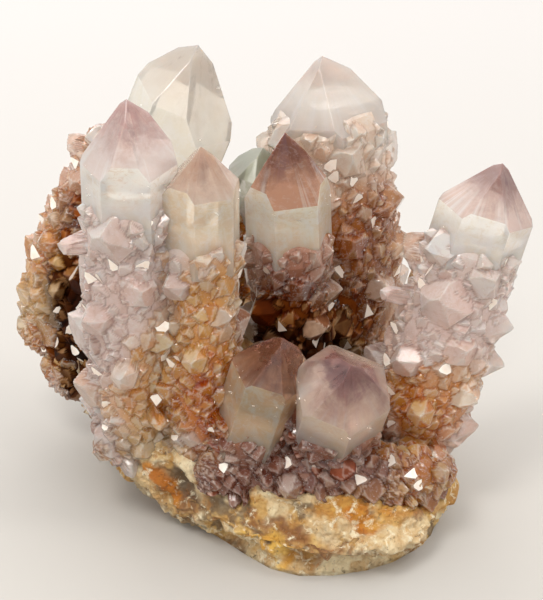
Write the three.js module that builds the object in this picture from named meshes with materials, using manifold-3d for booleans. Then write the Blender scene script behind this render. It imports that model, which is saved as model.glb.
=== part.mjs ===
// An amethyst specimen of the candle-quartz habit: clear quartz points on stalks that are coated in small
// crystals, all grown on one broken slab of stained rock.
// Millimetres, +Z up. The origin is the centre of the flat face that the rock rests on.
import * as THREE from "three";
import { mergeVertices } from "three/addons/utils/BufferGeometryUtils.js";
import Module from "manifold-3d";

const wasm = await Module();
wasm.setup();

// Quartz: the angle in degrees between the crystal's axis and the normal of each sloping face of its tip
const TIP_NORMAL = 51.8;
const SIXTH = Math.PI / 3;
const GOLDEN_ANGLE = Math.PI * (3 - Math.sqrt(5));
const UP = new THREE.Vector3(0, 0, 1);

// How far two pieces stay apart where they meet
const JOINT_GAP = 0.35;
// How far a coat crystal's root is sunk in the stalk
const SUNK = 1.7;
const MERGE = 1e-3;

// Sides of a stalk's body, and its rings between root and collar
const STALK_SIDES = 7;
const STALK_RINGS = 3;

// The rock slab: three closed outlines, each a ring of [x, y, z] points that run counter-clockwise from the
// front left. The foot is the flat resting face, the belly is the widest part, and the crystals begin at
// the rim.
const FOOT = [
  [-8, -21, 0], [3, -31, 0], [18, -29, 0], [28, -19, 0], [30, 0, 0], [26, 15, 0],
  [12, 24, 0], [-8, 26, 0], [-23, 21, 0], [-26, 9, 0], [-21, -4, 0], [-15, -13, 0],
];
const BELLY = [
  [-10, -25, 6], [3, -33, 4], [19, -32, 4], [30, -21, 5], [32, -1, 6], [28, 18, 6],
  [13, 29, 7], [-10, 31, 8], [-29, 27, 10], [-36, 13, 11], [-31, -5, 9], [-22, -16, 7],
];
const RIM = [
  [-8, -25, 16], [3, -31, 13], [17, -30, 12], [29, -20, 11], [32, -1, 13], [27, 18, 15],
  [12, 28, 17], [-11, 30, 20], [-31, 27, 23], [-38, 14, 22], [-33, -7, 18], [-22, -18, 19],
];
const ROCK_CENTRE = [0, 0, 17];
const ROCK_SIDES = 32;
const ROCK_STEPS = 3;
// How far the rock's fine and broad unevenness reach, how far each ring of it stands out as a ledge, and
// how far the ledges rise and fall round the rock
const ROCK_ROUGHNESS = [0.9, 1.7];
const LEDGES = [1, -1.4, 1.2, 1.4, -1.8, 1, 0, 0];
const ROCK_TILT = 1.5;

// Broken hollows in the rock's outer side: centre, and half sizes across, in depth and in height
const PITS = [
  { centre: [-15, -23, 10], half: [6, 4.5, 4] },
  { centre: [14, -33.5, 5.5], half: [5, 3, 2.2] },
  { centre: [-37, 3, 14], half: [4, 5, 4] },
  { centre: [32, 8, 9], half: [3, 5, 2.6] },
];

// Each stalk runs from foot to tip. radius is the clear crystal's, corner to axis, and clear is how much of
// it stands bare of the coat, tip included; the two banks have none. coat gives the radii of the stalk's
// body from root to collar, evenly spaced. spin turns the crystal about its axis, in degrees. size is the
// range of the coat crystals' widths, corner to axis, and lean is how far they rise from straight out
// towards the tip, in degrees. off moves the crystal's apex off its axis, and slope is the angle of the
// tip's faces where it isn't the usual one.
const STALKS = {
  back_left: {
    foot: [-36, 17, 13], tip: [-10.9, 14, 78.4], radius: 9.7, clear: 30, spin: 20,
    off: [-1.8, 0], slope: 56,
    coat: [6, 8.4, 8.4, 8, 7.6], crystals: 23, size: [3.4, 4.8], lean: 20,
  },
  left_bank: {
    foot: [-41, 19, 20.5], tip: [-29, 19, 60], radius: 0, clear: 0, spin: 0,
    coat: [4.8, 6.2, 6, 4, 1.6], crystals: 20, size: [3.4, 4.8], lean: 16,
  },
  front_left: {
    foot: [-23.5, -9.5, 17], tip: [-23.5, -12, 80], radius: 8.1, clear: 19.5, spin: 28, slope: 59,
    coat: [7.6, 8.2, 8.4, 7.6, 6.2], crystals: 22, size: [3.7, 5.4], lean: 20,
  },
  front_middle: {
    foot: [-12, -14, 16], tip: [-11.5, -13, 72], radius: 6.8, clear: 17.5, spin: -8,
    coat: [6, 6.2, 6, 5.4, 4.8], crystals: 15, size: [3.2, 4.6], lean: 20,
  },
  back: {
    foot: [15, 19, 11], tip: [9, 24, 73], radius: 11, clear: 12.5, spin: 12,
    coat: [7, 9.6, 11, 11.4, 9.4], crystals: 26, size: [3.8, 5.6], lean: 18,
  },
  rear: {
    foot: [-10, 24, 15], tip: [-1.5, 21, 56.6], radius: 5.6, clear: 14, spin: 5,
    coat: [5, 5.2, 4.8, 4.4, 4], crystals: 11, size: [3, 4.2], lean: 20,
  },
  centre: {
    foot: [4.5, 6, 13], tip: [2.3, 6, 66.2], radius: 7.7, clear: 20, spin: -18, slope: 60,
    coat: [5.4, 6, 6.4, 6.4, 5.6], crystals: 20, size: [3.4, 5], lean: 18,
  },
  right: {
    foot: [23.5, -8, 10], tip: [39.1, -2, 64], radius: 8.4, clear: 15.5, spin: 24,
    coat: [6, 8.2, 8.6, 8.2, 7.2], crystals: 26, size: [3.6, 5.2], lean: 14,
  },
  front_low_left: {
    foot: [-5.5, -17, 13], tip: [1.9, -22, 41.3], radius: 7, clear: 20, spin: 22,
    coat: [6, 6.4, 6, 5.6, 5], crystals: 5, size: [2.8, 3.8], lean: 10,
  },
  front_low_right: {
    foot: [9, -13, 14], tip: [12.9, -31, 41.2], radius: 8.5, clear: 18, spin: 10,
    coat: [7, 7, 7, 7, 6.4], crystals: 6, size: [2.8, 3.8], lean: 10,
  },
  front_bank: {
    foot: [-10, -20.5, 14.5], tip: [25, -20, 13.5], radius: 0, clear: 0, spin: 0,
    coat: [3.4, 5.2, 5.6, 5.2, 3.8], crystals: 20, size: [3, 4.4], lean: 0,
  },
};

// The pieces: stalks that grew through each other are one piece, and each piece is cut back from those
// before it
const SPIRES = {
  twin_spire_front: ["front_low_left", "front_low_right", "front_bank"],
  twin_spire_left: ["front_left", "front_middle"],
  spire_right: ["right"],
  spire_centre: ["centre"],
  spire_back_left: ["back_left", "left_bank"],
  spire_back: ["back"],
  spire_rear: ["rear"],
};

const material = (color, roughness, opacity = 1) =>
  new THREE.MeshStandardMaterial({
    color, roughness, metalness: 0, flatShading: true, opacity, transparent: opacity < 1,
  });

const FINISHES = {
  rock: material(0xcdb27c, 0.85),
  lilac: material(0xd3b7b3, 0.22, 0.92),
  amber: material(0xc79c84, 0.25, 0.92),
  smoky: material(0xb88f82, 0.22, 0.92),
};
const SPIRE_FINISH = {
  twin_spire_front: "smoky",
  spire_centre: "smoky",
  spire_back: "amber",
};

// A steady number from 0 to 1 for each whole number and channel, so that the specimen is always the same
function chance(index, channel) {
  const wave = Math.sin(index * 127.1 + channel * 311.7 + 17.3) * 43758.5453;
  return wave - Math.floor(wave);
}

const between = ([low, high], share) => low + (high - low) * share;

// A closed three.js geometry as a solid that can be joined and cut
function solid(geometry) {
  const bare = new THREE.BufferGeometry();
  bare.setAttribute("position", geometry.getAttribute("position"));
  bare.setIndex(geometry.index);
  const merged = mergeVertices(bare, MERGE);
  const corners = merged.index.array;
  const kept = [];
  for (let i = 0; i < corners.length; i += 3) {
    const [a, b, c] = corners.slice(i, i + 3);
    if (a !== b && b !== c && c !== a) kept.push(a, b, c);
  }
  return new wasm.Manifold(
    new wasm.Mesh({
      numProp: 3,
      vertProperties: merged.attributes.position.array,
      triVerts: new Uint32Array(kept),
    }),
  );
}

function geometryOf(made) {
  const { vertProperties, triVerts } = made.getMesh();
  const geometry = new THREE.BufferGeometry();
  geometry.setAttribute("position", new THREE.BufferAttribute(vertProperties, 3));
  geometry.setIndex(new THREE.BufferAttribute(triVerts, 1));
  const faceted = geometry.toNonIndexed();
  faceted.computeVertexNormals();
  return faceted;
}

// The frame that carries +Z onto the line from foot to tip, without twisting it about that line
function frameOf({ foot, tip }) {
  const start = new THREE.Vector3(...foot);
  const line = new THREE.Vector3(...tip).sub(start);
  const length = line.length();
  const turn = new THREE.Quaternion().setFromUnitVectors(UP, line.normalize());
  const matrix = new THREE.Matrix4().compose(start, turn, new THREE.Vector3(1, 1, 1));
  return { start, turn, length, matrix };
}

// A quartz crystal on +Z with its tip at height: a hexagonal prism cut by six sloping faces. Every other
// face stands further out, so three meet at the tip and three are small, as on most quartz.
function quartzPoint({ radius, length, height, spin, off = [0, 0], slope = TIP_NORMAL, grow = 0 }) {
  const prism = new THREE.CylinderGeometry(radius + grow, radius + grow, length + 2 * grow, 6);
  prism.rotateX(Math.PI / 2);
  prism.rotateZ(THREE.MathUtils.degToRad(spin));
  prism.translate(0, 0, height - length / 2);
  const rise = Math.cos(THREE.MathUtils.degToRad(slope));
  const across = Math.sin(THREE.MathUtils.degToRad(slope));
  const apex = new THREE.Vector3(...off, height);
  return Array.from({ length: 6 }).reduce((made, _, side) => {
    const round = (side + 0.5) * SIXTH + THREE.MathUtils.degToRad(spin) - Math.PI / 2;
    const facing = new THREE.Vector3(across * Math.cos(round), across * Math.sin(round), rise);
    const further = side % 2 ? radius * (0.07 + 0.13 * chance(side, Math.round(radius * 10))) : 0;
    return made.trimByPlane(facing.toArray().map((part) => -part), -(facing.dot(apex) + further + grow));
  }, solid(prism));
}

// One small crystal of the coat, on +Z with its root at the origin: most are plain points, a few have a
// prism below
function coatCrystal({ radius, length, turn, shouldered }) {
  if (!shouldered) {
    const point = new THREE.CylinderGeometry(0, radius, length, 6, 1, false, turn);
    return point.translate(0, length / 2, 0).rotateX(Math.PI / 2);
  }
  const shoulder = length - radius * 1.15;
  const profile = [
    new THREE.Vector2(0, 0),
    new THREE.Vector2(radius * 0.94, 0),
    new THREE.Vector2(radius, shoulder),
    new THREE.Vector2(0, length),
  ];
  return new THREE.LatheGeometry(profile, 6, turn).rotateX(Math.PI / 2);
}

// How thick the coated stalk is at a share of its way from root to collar
function coatRadius(coat, share) {
  const place = THREE.MathUtils.clamp(share, 0, 1) * (coat.length - 1);
  const low = Math.min(Math.floor(place), coat.length - 2);
  return THREE.MathUtils.lerp(coat[low], coat[low + 1], place - low);
}

// The body that the coat crystals stand on, from the root to the collar of the clear crystal
function stalkBody({ coat, crystals }, collar, grow) {
  const profile = [new THREE.Vector2(0, -grow)];
  for (let ring = 0; ring <= STALK_RINGS; ring++) {
    const share = ring / STALK_RINGS;
    const lift = THREE.MathUtils.lerp(-grow, grow, share);
    profile.push(new THREE.Vector2(coatRadius(coat, share) + grow, collar * share + lift));
  }
  profile.push(new THREE.Vector2(0, collar + grow));
  const body = new THREE.LatheGeometry(profile, STALK_SIDES, chance(crystals, 9));
  return solid(body.rotateX(Math.PI / 2));
}

// The coat: crystals set along a spiral round the stalk, pointing outwards and a little towards the tip
function coatCrystals({ crystals, size, lean, coat }, collar, grow) {
  return Array.from({ length: crystals }, (_, index) => {
    const share = (index + 0.5) / crystals;
    const round = index * GOLDEN_ANGLE + chance(index, 1) * 0.5;
    const shouldered = index % 5 === 2;
    const radius = between(size, chance(index, 2)) * (shouldered ? 0.72 : 1);
    const length = radius * 1.2 + (shouldered ? 2.4 + 1.6 * chance(index, 3) : 0);
    const rise = THREE.MathUtils.degToRad(lean + 26 * (chance(index, 4) - 0.5));
    const out = new THREE.Vector3(Math.cos(round), Math.sin(round), 0);
    const facing = out.clone().multiplyScalar(Math.cos(rise)).addScaledVector(UP, Math.sin(rise));
    const root = out.clone().multiplyScalar(coatRadius(coat, share) - SUNK);
    const crystal = coatCrystal({
      radius: radius + grow, length: length + 2 * grow, turn: chance(index, 5) * SIXTH, shouldered,
    });
    crystal.translate(0, 0, -grow);
    crystal.applyQuaternion(new THREE.Quaternion().setFromUnitVectors(UP, facing));
    return solid(crystal.translate(root.x, root.y, collar * share));
  });
}

// A whole stalk in the specimen's frame: body, coat and clear crystal grown together
function growStalk(stalk, grow = 0) {
  const { length, matrix } = frameOf(stalk);
  const { radius, clear } = stalk;
  const collar = length - clear;
  const pieces = [stalkBody(stalk, collar, grow), ...coatCrystals(stalk, collar, grow)];
  if (radius) pieces.push(quartzPoint({ ...stalk, length: clear + 8, height: length, grow }));
  return wasm.Manifold.union(pieces).transform(matrix.elements);
}

const growSpire = (names, grow = 0) =>
  wasm.Manifold.union(names.map((name) => growStalk(STALKS[name], grow)));

// One closed outline as evenly spaced points on a smooth loop
function outline(points) {
  const loop = new THREE.CatmullRomCurve3(points.map((point) => new THREE.Vector3(...point)), true);
  return Array.from({ length: ROCK_SIDES }, (_, side) => loop.getPoint(side / ROCK_SIDES));
}

// The rings of the rock, from its flat foot over belly and rim towards its top
function rockRings() {
  const [foot, belly, rim] = [FOOT, BELLY, RIM].map(outline);
  const mix = (low, high, share) => low.map((point, side) => point.clone().lerp(high[side], share));
  const steps = Array.from({ length: ROCK_STEPS }, (_, step) => (step + 1) / ROCK_STEPS);
  const inwards = rim.map(({ z }) => new THREE.Vector3(ROCK_CENTRE[0], ROCK_CENTRE[1], z + 2));
  const rings = [
    ...steps.map((share) => mix(foot, belly, Math.sin((share * Math.PI) / 2))),
    ...steps.map((share) => mix(belly, rim, share)),
    ...[0.25, 0.6].map((share) => mix(rim, inwards, share)),
  ];
  const roughened = rings.map((ring, level) =>
    ring.map((point, side) => {
      const outward = new THREE.Vector3(point.x, point.y, 0).normalize();
      const [fine, broad] = ROCK_ROUGHNESS;
      const ledge = LEDGES[level] * chance((side + level) >> 2, 40 + level);
      const grain = fine * (2 * chance(side, level) - 1);
      const swell = broad * (2 * chance(side >> 2, level >> 1) - 1);
      const rough = grain + swell + ledge;
      const rise = rough * 0.4 + ROCK_TILT * (2 * chance((side + 2) >> 2, 60 + level) - 1);
      return point.clone().addScaledVector(outward, rough).addScaledVector(UP, rise);
    }),
  );
  return [foot, ...roughened];
}

// The rock slab: quads between the rings, a flat fan under the foot and a fan over the top
function rockGeometry() {
  const rings = rockRings();
  const points = rings.flat();
  const corners = [];
  for (let level = 0; level + 1 < rings.length; level++) {
    for (let side = 0; side < ROCK_SIDES; side++) {
      const next = (side + 1) % ROCK_SIDES;
      const [low, high] = [level * ROCK_SIDES, (level + 1) * ROCK_SIDES];
      corners.push(low + side, low + next, high + next, low + side, high + next, high + side);
    }
  }
  const under = points.push(new THREE.Vector3(0, 0, 0)) - 1;
  const over = points.push(new THREE.Vector3(...ROCK_CENTRE)) - 1;
  const last = (rings.length - 1) * ROCK_SIDES;
  for (let side = 0; side < ROCK_SIDES; side++) {
    const next = (side + 1) % ROCK_SIDES;
    corners.push(under, next, side, over, last + side, last + next);
  }
  const geometry = new THREE.BufferGeometry().setFromPoints(points);
  geometry.setIndex(corners);
  return geometry;
}

// The same solid moved a little in each direction and joined, which leaves a gap all round what it is cut
// from
function withGap(made, gap) {
  const steps = [[1, 0, 0], [0, 1, 0], [0, 0, 1], [1, 1, 1], [1, 1, -1], [1, -1, 1], [-1, 1, 1]];
  const moves = steps.flatMap((step) => {
    const move = new THREE.Vector3(...step).setLength(gap);
    return [move, move.clone().negate()];
  });
  return wasm.Manifold.union(moves.map((move) => made.translate(move.toArray())));
}

function pit({ centre, half }) {
  const hollow = new THREE.IcosahedronGeometry(1, 1);
  hollow.scale(...half);
  hollow.translate(...centre);
  return solid(hollow);
}

const specimen = new THREE.Group();

const slab = solid(rockGeometry()).subtract(wasm.Manifold.union(PITS.map(pit)));
const matrixRock = new THREE.Mesh(geometryOf(slab), FINISHES.rock);
matrixRock.name = "matrix_rock";
specimen.add(matrixRock);

let taken = withGap(solid(rockGeometry()), JOINT_GAP);
for (const [name, stalks] of Object.entries(SPIRES)) {
  const { start, turn, matrix } = frameOf(STALKS[stalks[0]]);
  const grown = growSpire(stalks).subtract(taken);
  const [largest] = grown.decompose().sort((one, other) => other.volume() - one.volume());
  const local = largest.transform(matrix.clone().invert().elements);
  const spire = new THREE.Mesh(geometryOf(local), FINISHES[SPIRE_FINISH[name] ?? "lilac"]);
  spire.name = name;
  spire.position.copy(start);
  spire.quaternion.copy(turn);
  specimen.add(spire);
  taken = taken.add(growSpire(stalks, JOINT_GAP));
}

export default specimen;
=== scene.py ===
"""Dresses the amethyst specimen: clear points, their coats of small crystals, and the stained rock."""

import itertools

import bpy
import numpy as np
from bpy.props import FloatProperty, FloatVectorProperty, IntProperty, PointerProperty
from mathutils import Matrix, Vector


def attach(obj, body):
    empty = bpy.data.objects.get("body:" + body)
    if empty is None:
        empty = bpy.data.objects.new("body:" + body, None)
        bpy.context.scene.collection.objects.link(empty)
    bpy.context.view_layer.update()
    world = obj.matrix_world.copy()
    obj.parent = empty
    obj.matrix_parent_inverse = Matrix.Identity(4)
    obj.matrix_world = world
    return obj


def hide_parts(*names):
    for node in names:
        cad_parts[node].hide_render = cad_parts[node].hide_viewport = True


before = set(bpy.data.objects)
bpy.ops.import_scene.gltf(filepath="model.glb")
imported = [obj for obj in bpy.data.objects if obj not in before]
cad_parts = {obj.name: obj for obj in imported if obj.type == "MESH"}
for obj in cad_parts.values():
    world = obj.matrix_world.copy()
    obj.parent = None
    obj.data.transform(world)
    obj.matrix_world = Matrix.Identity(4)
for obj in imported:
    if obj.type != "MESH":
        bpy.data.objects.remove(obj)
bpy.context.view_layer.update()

bl_info = {
    "name": "Amethyst specimen",
    "version": (1, 0, 0),
    "blender": (4, 5, 0),
    "location": "View3D > Sidebar > Specimen",
    "description": "Builds a candle-quartz amethyst on its rock, with soft studio light",
    "category": "Add Mesh",
}

MM = 0.001
SIXTH = np.pi / 3
GOLDEN_ANGLE = np.pi * (3 - np.sqrt(5))
GOLDEN_SHARE = 0.6180339887
# Half the width across a hexagon's flats, as a share of its radius
FLAT_SHARE = 0.866
# Degrees from the axis to the normal of a tip face
TIP_NORMAL = 51.8
# How deep the leading crystals are rooted, and how far the coat climbs up a clear point
SUNK = 1.7
CLIMB = 2.5
# The collar under a clear point: how much of it the body fills below and above, and where it widens
COLLAR_BELOW = 0.93
COLLAR_ABOVE = 0.78
COLLAR_START = 8
COLLAR_RUN = 5
# How flat the rounded ends of a body are: under a clear point, at a free top and at a free foot
HEAD_FLATNESS = 0.15
TOP_FLATNESS = 0.9
FOOT_FLATNESS = 0.7
HEAD_ROWS = 6
FOOT_CRYSTALS = 90
# The stalk bodies: how far they lie under the coat, and the rows and columns of their surface
CORE_DEPTH = 1.8
CORE_GRID = (48, 40)
# The unit crystals of the coats: how many there are, the faces of each without its root, and its length
KINDS = 5
SIDES = 12
ROOT = 1.6
# How far round its tip a crystal is looked for, in radii and beyond, and how far it may stand out
SEARCH_RADII = 1.5
SEARCH_MARGIN = 1.4
STAND_OUT = 2.2
# Painted glints, white plates on some crystal faces in place of the light they would reflect: how many faces
# stay without one, the sizes that get one, and how a plate covers its face
BRIGHT_FACES = 0.88
BRIGHT_SIZES = (1.1, 2.9)
PLATE_SHARE = 0.9
PLATE_LIFT = 0.05
# How much the depth of colour changes at random from face to face, a painted shading of the faces, and the
# brightness below which quartz takes the shaded material, painted shade
FACE_DEPTH = 1.2
DARK_BELOW = 0.42
# A milky white of the quartz, also laid on the edges between faces as a painted highlight
MILKY = (0.97, 0.92, 0.86)

# Every stalk, from foot to tip in millimetres, with its coated body's radii and its clear point's size
STALKS = {
    "back_left": dict(
        foot=(-36, 17, 13), tip=(-10.9, 14, 78.4), radius=9.7, clear=30, spin=20, off=(-1.8, 0), slope=56,
        coat=(6, 8.4, 8.4, 8, 7.6), crystals=23, size=(3.4, 4.8), lean=20,
    ),
    "left_bank": dict(
        foot=(-41.2, 19, 20.5), tip=(-29.2, 19, 60), radius=0, clear=0, spin=0,
        coat=(5, 6.9, 6.8, 4.8, 2.2), crystals=26, size=(2.4, 3.6), lean=16,
    ),
    "front_left": dict(
        foot=(-23.5, -9.5, 17), tip=(-23.5, -12, 80), radius=8.1, clear=19.5, spin=28, slope=59,
        coat=(7, 7.4, 8, 7.6, 6.2), crystals=22, size=(3.5, 5.1), lean=20,
    ),
    "front_middle": dict(
        foot=(-12, -14, 16), tip=(-11.5, -13, 72), radius=6.8, clear=17.5, spin=-8,
        coat=(6, 6.2, 6, 5.4, 4.8), crystals=15, size=(3.2, 4.6), lean=20,
    ),
    "back": dict(
        foot=(15, 19, 11), tip=(9, 24, 73), radius=11, clear=12.5, spin=12,
        coat=(7, 9.4, 10.5, 10.7, 8.9), crystals=26, size=(3.8, 5.5), lean=18,
    ),
    "rear": dict(
        foot=(-10, 24, 15), tip=(-1.5, 21, 56.6), radius=5.6, clear=14, spin=5,
        coat=(5, 5.2, 4.8, 4.4, 4), crystals=11, size=(3, 4.2), lean=20,
    ),
    "centre": dict(
        foot=(4.5, 6, 13), tip=(2.3, 6, 66.2), radius=7.7, clear=20, spin=-18, slope=60,
        coat=(5.4, 6, 6.4, 6.4, 5.6), crystals=20, size=(3.4, 5), lean=18,
    ),
    "right": dict(
        foot=(23.5, -8, 10), tip=(39.1, -2, 64), radius=8.4, clear=15.5, spin=24,
        coat=(6, 8.2, 8.6, 8.1, 7.1), crystals=26, size=(3.6, 5.1), lean=14,
    ),
    "front_low_left": dict(
        foot=(-5.5, -17, 13), tip=(1.9, -22, 41.3), radius=7, clear=20, spin=22,
        coat=(6, 6.4, 6, 5.6, 5), crystals=5, size=(2.8, 3.8), lean=10,
    ),
    "front_low_right": dict(
        foot=(9, -13, 14), tip=(12.9, -31, 41.2), radius=8.5, clear=18, spin=10,
        coat=(7, 7, 7, 7, 6.4), crystals=6, size=(2.8, 3.8), lean=10,
    ),
    "left_tuft": dict(
        foot=(-22, -9, 15.5), tip=(-28.5, -12.5, 14.5), radius=0, clear=0, spin=0,
        coat=(4.8, 4.8, 4.2, 2.4), crystals=9, size=(2.8, 4), lean=0,
    ),
    "right_tuft": dict(
        foot=(20, -21, 12), tip=(29.5, -16.5, 11.5), radius=0, clear=0, spin=0,
        coat=(4.2, 4.4, 4.4, 3), crystals=10, size=(2.6, 3.8), lean=0,
    ),
    "front_bank": dict(
        foot=(-10, -20.5, 14.5), tip=(25, -20, 13.5), radius=0, clear=0, spin=0,
        coat=(3.4, 5.2, 5.6, 5.2, 3.8), crystals=20, size=(3, 4.4), lean=0,
    ),
}
SPIRES = {
    "twin_spire_front": ("front_low_left", "front_low_right", "front_bank", "right_tuft"),
    "twin_spire_left": ("front_left", "front_middle", "left_tuft"),
    "spire_right": ("right",),
    "spire_centre": ("centre",),
    "spire_back_left": ("back_left", "left_bank"),
    "spire_back": ("back",),
    "spire_rear": ("rear",),
}

# The rock slab's outlines and its unevenness, in millimetres
FOOT = [
    (-8, -21, 0), (3, -31, 0), (18, -29, 0), (28, -19, 0), (30, 0, 0), (26, 15, 0),
    (12, 24, 0), (-8, 26, 0), (-23, 21, 0), (-26, 9, 0), (-21, -4, 0), (-15, -13, 0),
]
BELLY = [
    (-10, -25, 6), (3, -33, 4), (19, -32, 4), (30, -21, 5), (32, -1, 6), (28, 18, 6),
    (13, 29, 7), (-10, 31, 8), (-29, 27, 10), (-36, 13, 11), (-31, -5, 9), (-22, -16, 7),
]
RIM = [
    (-8, -25, 16), (3, -31, 13), (17, -30, 12), (29, -20, 11), (32, -1, 13), (27, 18, 15),
    (12, 28, 17), (-11, 30, 20), (-31, 27, 23), (-38, 14, 22), (-33, -7, 18), (-22, -18, 19),
]
ROCK_CENTRE = (0, 0, 17)
# How much finer than its rings the rock's surface is, upwards and round
ROCK_FINENESS = (16, 12)
ROCK_SIDES = 32
ROCK_STEPS = 3
ROCK_ROUGHNESS = (0.9, 1.7)
LEDGES = (1, -1.4, 1.2, 1.4, -1.8, 1, 0, 0)
ROCK_TILT = 1.5
GROUND_ROWS = 90
GROUND_CRYSTALS = 700
PITS = [
    ((-15, -23, 10), (6, 4.5, 4)),
    ((14, -33.5, 5.5), (5, 3, 2.2)),
    ((-37, 3, 14), (4, 5, 4)),
    ((32, 8, 9), (3, 5, 2.6)),
]

# Where the druse is stained, and where shade is painted on it in the patches named shade: each soft patch's
# middle, its reach, its colour's name and its strength
STAINS = [
    ((-24, -20, 46), (16, 12, 12), "lilac", 0.4),
    ((34, -8, 42), (12, 12, 12), "lilac", 0.5),
    ((-8, -17, 49), (7, 8, 9), "amber", 0.8),
    ((-11, -20, 37), (9, 11, 13), "amber", 0.95),
    ((-18, -20, 26), (12, 11, 8), "amber", 0.85),
    ((-9, -18, 24), (7, 11, 9), "rust", 1.0),
    ((-23, -19, 17), (11, 8, 4), "cream", 0.6),
    ((-40, 13, 38), (13, 14, 24), "brown", 1.0),
    ((-44, 11, 38), (6, 10, 12), "amber", 0.9),
    ((-45, 11, 37), (4, 9, 4), "rust", 0.9),
    ((-45, 12, 27), (6, 12, 7), "cream", 0.9),
    ((-41, 12, 47), (5, 8, 4), "cream", 0.6),
    ((-38, 12, 20), (8, 10, 6), "brown", 1.0),
    # Painted shade in the gap between the left bank and the front left stalk
    ((-36, 9, 30), (4.5, 9, 17), "shade", 1.0),
    ((-30, 9, 28), (7, 10, 16), "shade", 1.0),
    ((-33, 9, 46), (5, 9, 8), "umber", 0.9),
    ((13, 16, 56), (16, 16, 8), "rose", 0.6),
    ((14, 14, 42), (15, 15, 9), "brown", 0.95),
    ((20, 14, 44), (6, 12, 8), "umber", 0.6),
    ((12, 12, 28), (15, 13, 10), "umber", 1.0),
    ((3, -1, 43), (10, 10, 8), "mauve", 0.9),
    ((3, -2, 33), (12, 10, 8), "umber", 1.0),
    # Painted shade deep under the middle stalks
    ((2, 0, 25), (16, 12, 9), "shade", 1.0),
    ((24, -18, 22), (9, 12, 9), "rust", 1.0),
    ((30, -12, 27), (8, 10, 6), "amber", 0.5),
    ((5, -29, 18), (22, 9, 8), "violet", 0.95),
    ((28, -20, 16), (8, 9, 7), "brown", 0.7),
    ((24, -22, 10), (9, 7, 4), "amber", 0.6),
    ((-32, -14, 15), (6, 8, 6), "violet", 0.35),
    ((-6, 28, 30), (20, 10, 16), "amber", 0.6),
    ((28, 6, 24), (10, 10, 16), "amber", 0.6),
]

# The rock's patches, all its own colours but for one band of painted light: middle, reach, colour's name,
# strength
ROCK_STAINS = [
    ((3, -30, 8.5), (6, 5, 1.8), "liver", 0.8),
    ((-22, -16, 10), (6, 6, 6), "chalk", 0.5),
    ((-14.5, -20, 11), (5, 5, 5), "ash", 1.0),
    ((-14, -20, 7), (4.5, 4, 2.5), "liver", 0.7),
    ((8.5, -34, 5.5), (4, 4, 2.4), "liver", 0.8),
    ((22, -30, 6), (9, 7, 4), "chalk", 0.8),
    # Painted light: a pale band that lightens the bottom front, whose underside faces down into shade
    ((4, -31, 1), (24, 9, 2.4), "chalk", 0.8),
    ((-0.5, -32, 4.3), (6, 7, 3.6), "gold", 1.0),
    ((6, -33, 4), (3, 5, 2.5), "liver", 0.6),
    ((9, -31, 10), (4, 5, 2), "chalk", 0.7),
    ((13, -28.5, 13), (6, 4, 3.5), "ochre", 0.9),
    ((16, -30, 11), (3.5, 3, 2.4), "orange", 0.9),
    ((24, -27, 11), (8, 6, 2.2), "ochre", 0.8),
    ((20, -29, 13), (6, 5, 2), "orange", 0.6),
    ((31, -18, 8), (4, 10, 3), "ochre", 0.6),
    ((-34, 8, 15), (6, 12, 9), "ash", 0.7),
    ((-30, 20, 10), (12, 10, 6), "ochre", 0.7),
    ((10, 30, 10), (18, 8, 6), "liver", 0.6),
    ((28, 10, 10), (8, 14, 5), "ochre", 0.6),
]
# Ridges and streaks on the rock: their line, half width, how far they stand out, colour's name
ROCK_STREAKS = [
    (((-20, -21, 20), (-16, -19, 17.5), (-12.3, -20.3, 12.3), (-11.6, -22, 7)), 1.9, 1.5, "chalk"),
    (((-21.5, -16.2, 12.5), (-18.6, -19.4, 10.6), (-17.4, -20.6, 6.4)), 1.1, 0.7, "orange"),
    (((-13, -24, 4.5), (-5, -27, 4), (2, -33, 1.5)), 1.6, 0.8, "chalk"),
    (((12, -31, 12), (14, -32, 8), (20, -32, 6)), 1.5, 0.9, "chalk"),
]
# Small holes in the yellow patch, darkened with painted shade
ROCK_HOLES = ((-3, -31, 5), (-1.1, -32, 5.2), (2.1, -33, 5.2), (-2.8, -31, 6.6), (-4.6, -30, 5.8))


def colour_property(name, description, default):
    """A colour that the sidebar shows."""
    return FloatVectorProperty(name=name, description=description, subtype="COLOR", default=default)


def number_property(name, description, default, low, high, **more):
    """A number that the sidebar shows, with its limits."""
    return FloatProperty(name=name, description=description, default=default, min=low, max=high, **more)


class SpecimenColours(bpy.types.PropertyGroup):
    """Colours of the quartz, its stains and the rock."""

    lilac: colour_property("Lilac", "Druse on the tall stalks", (0.96, 0.84, 0.80))
    rose: colour_property("Rose", "Pinkish beige druse", (0.97, 0.83, 0.72))
    amber: colour_property("Amber", "Golden brown druse", (0.87, 0.53, 0.17))
    rust: colour_property("Rust", "Orange stained druse", (0.78, 0.33, 0.04))
    brown: colour_property("Brown", "Red-brown druse", (0.74, 0.36, 0.085))
    umber: colour_property("Umber", "Darkest brown, deep between the stalks", (0.42, 0.15, 0.032))
    shade: colour_property("Shade", "Hollows that hardly any light reaches", (0.065, 0.017, 0.003))
    violet: colour_property("Violet", "Dark violet druse", (0.48, 0.24, 0.17))
    mauve: colour_property("Mauve", "Brownish violet druse", (0.68, 0.38, 0.28))
    cream: colour_property("Cream", "Pale crust", (0.90, 0.74, 0.48))
    stone: colour_property("Stone", "Cream rock", (0.74, 0.50, 0.19))
    chalk: colour_property("Chalk", "Whitest rock", (0.89, 0.76, 0.50))
    ochre: colour_property("Ochre", "Yellow stained rock", (0.66, 0.36, 0.07))
    gold: colour_property("Gold", "Bright yellow patch", (0.88, 0.54, 0.11))
    orange: colour_property("Orange", "Orange streaks in the rock", (0.62, 0.23, 0.015))
    liver: colour_property("Liver brown", "Red-brown patches in the rock", (0.30, 0.13, 0.05))
    ash: colour_property("Ash", "Grey hollow in the rock", (0.22, 0.16, 0.10))


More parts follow.
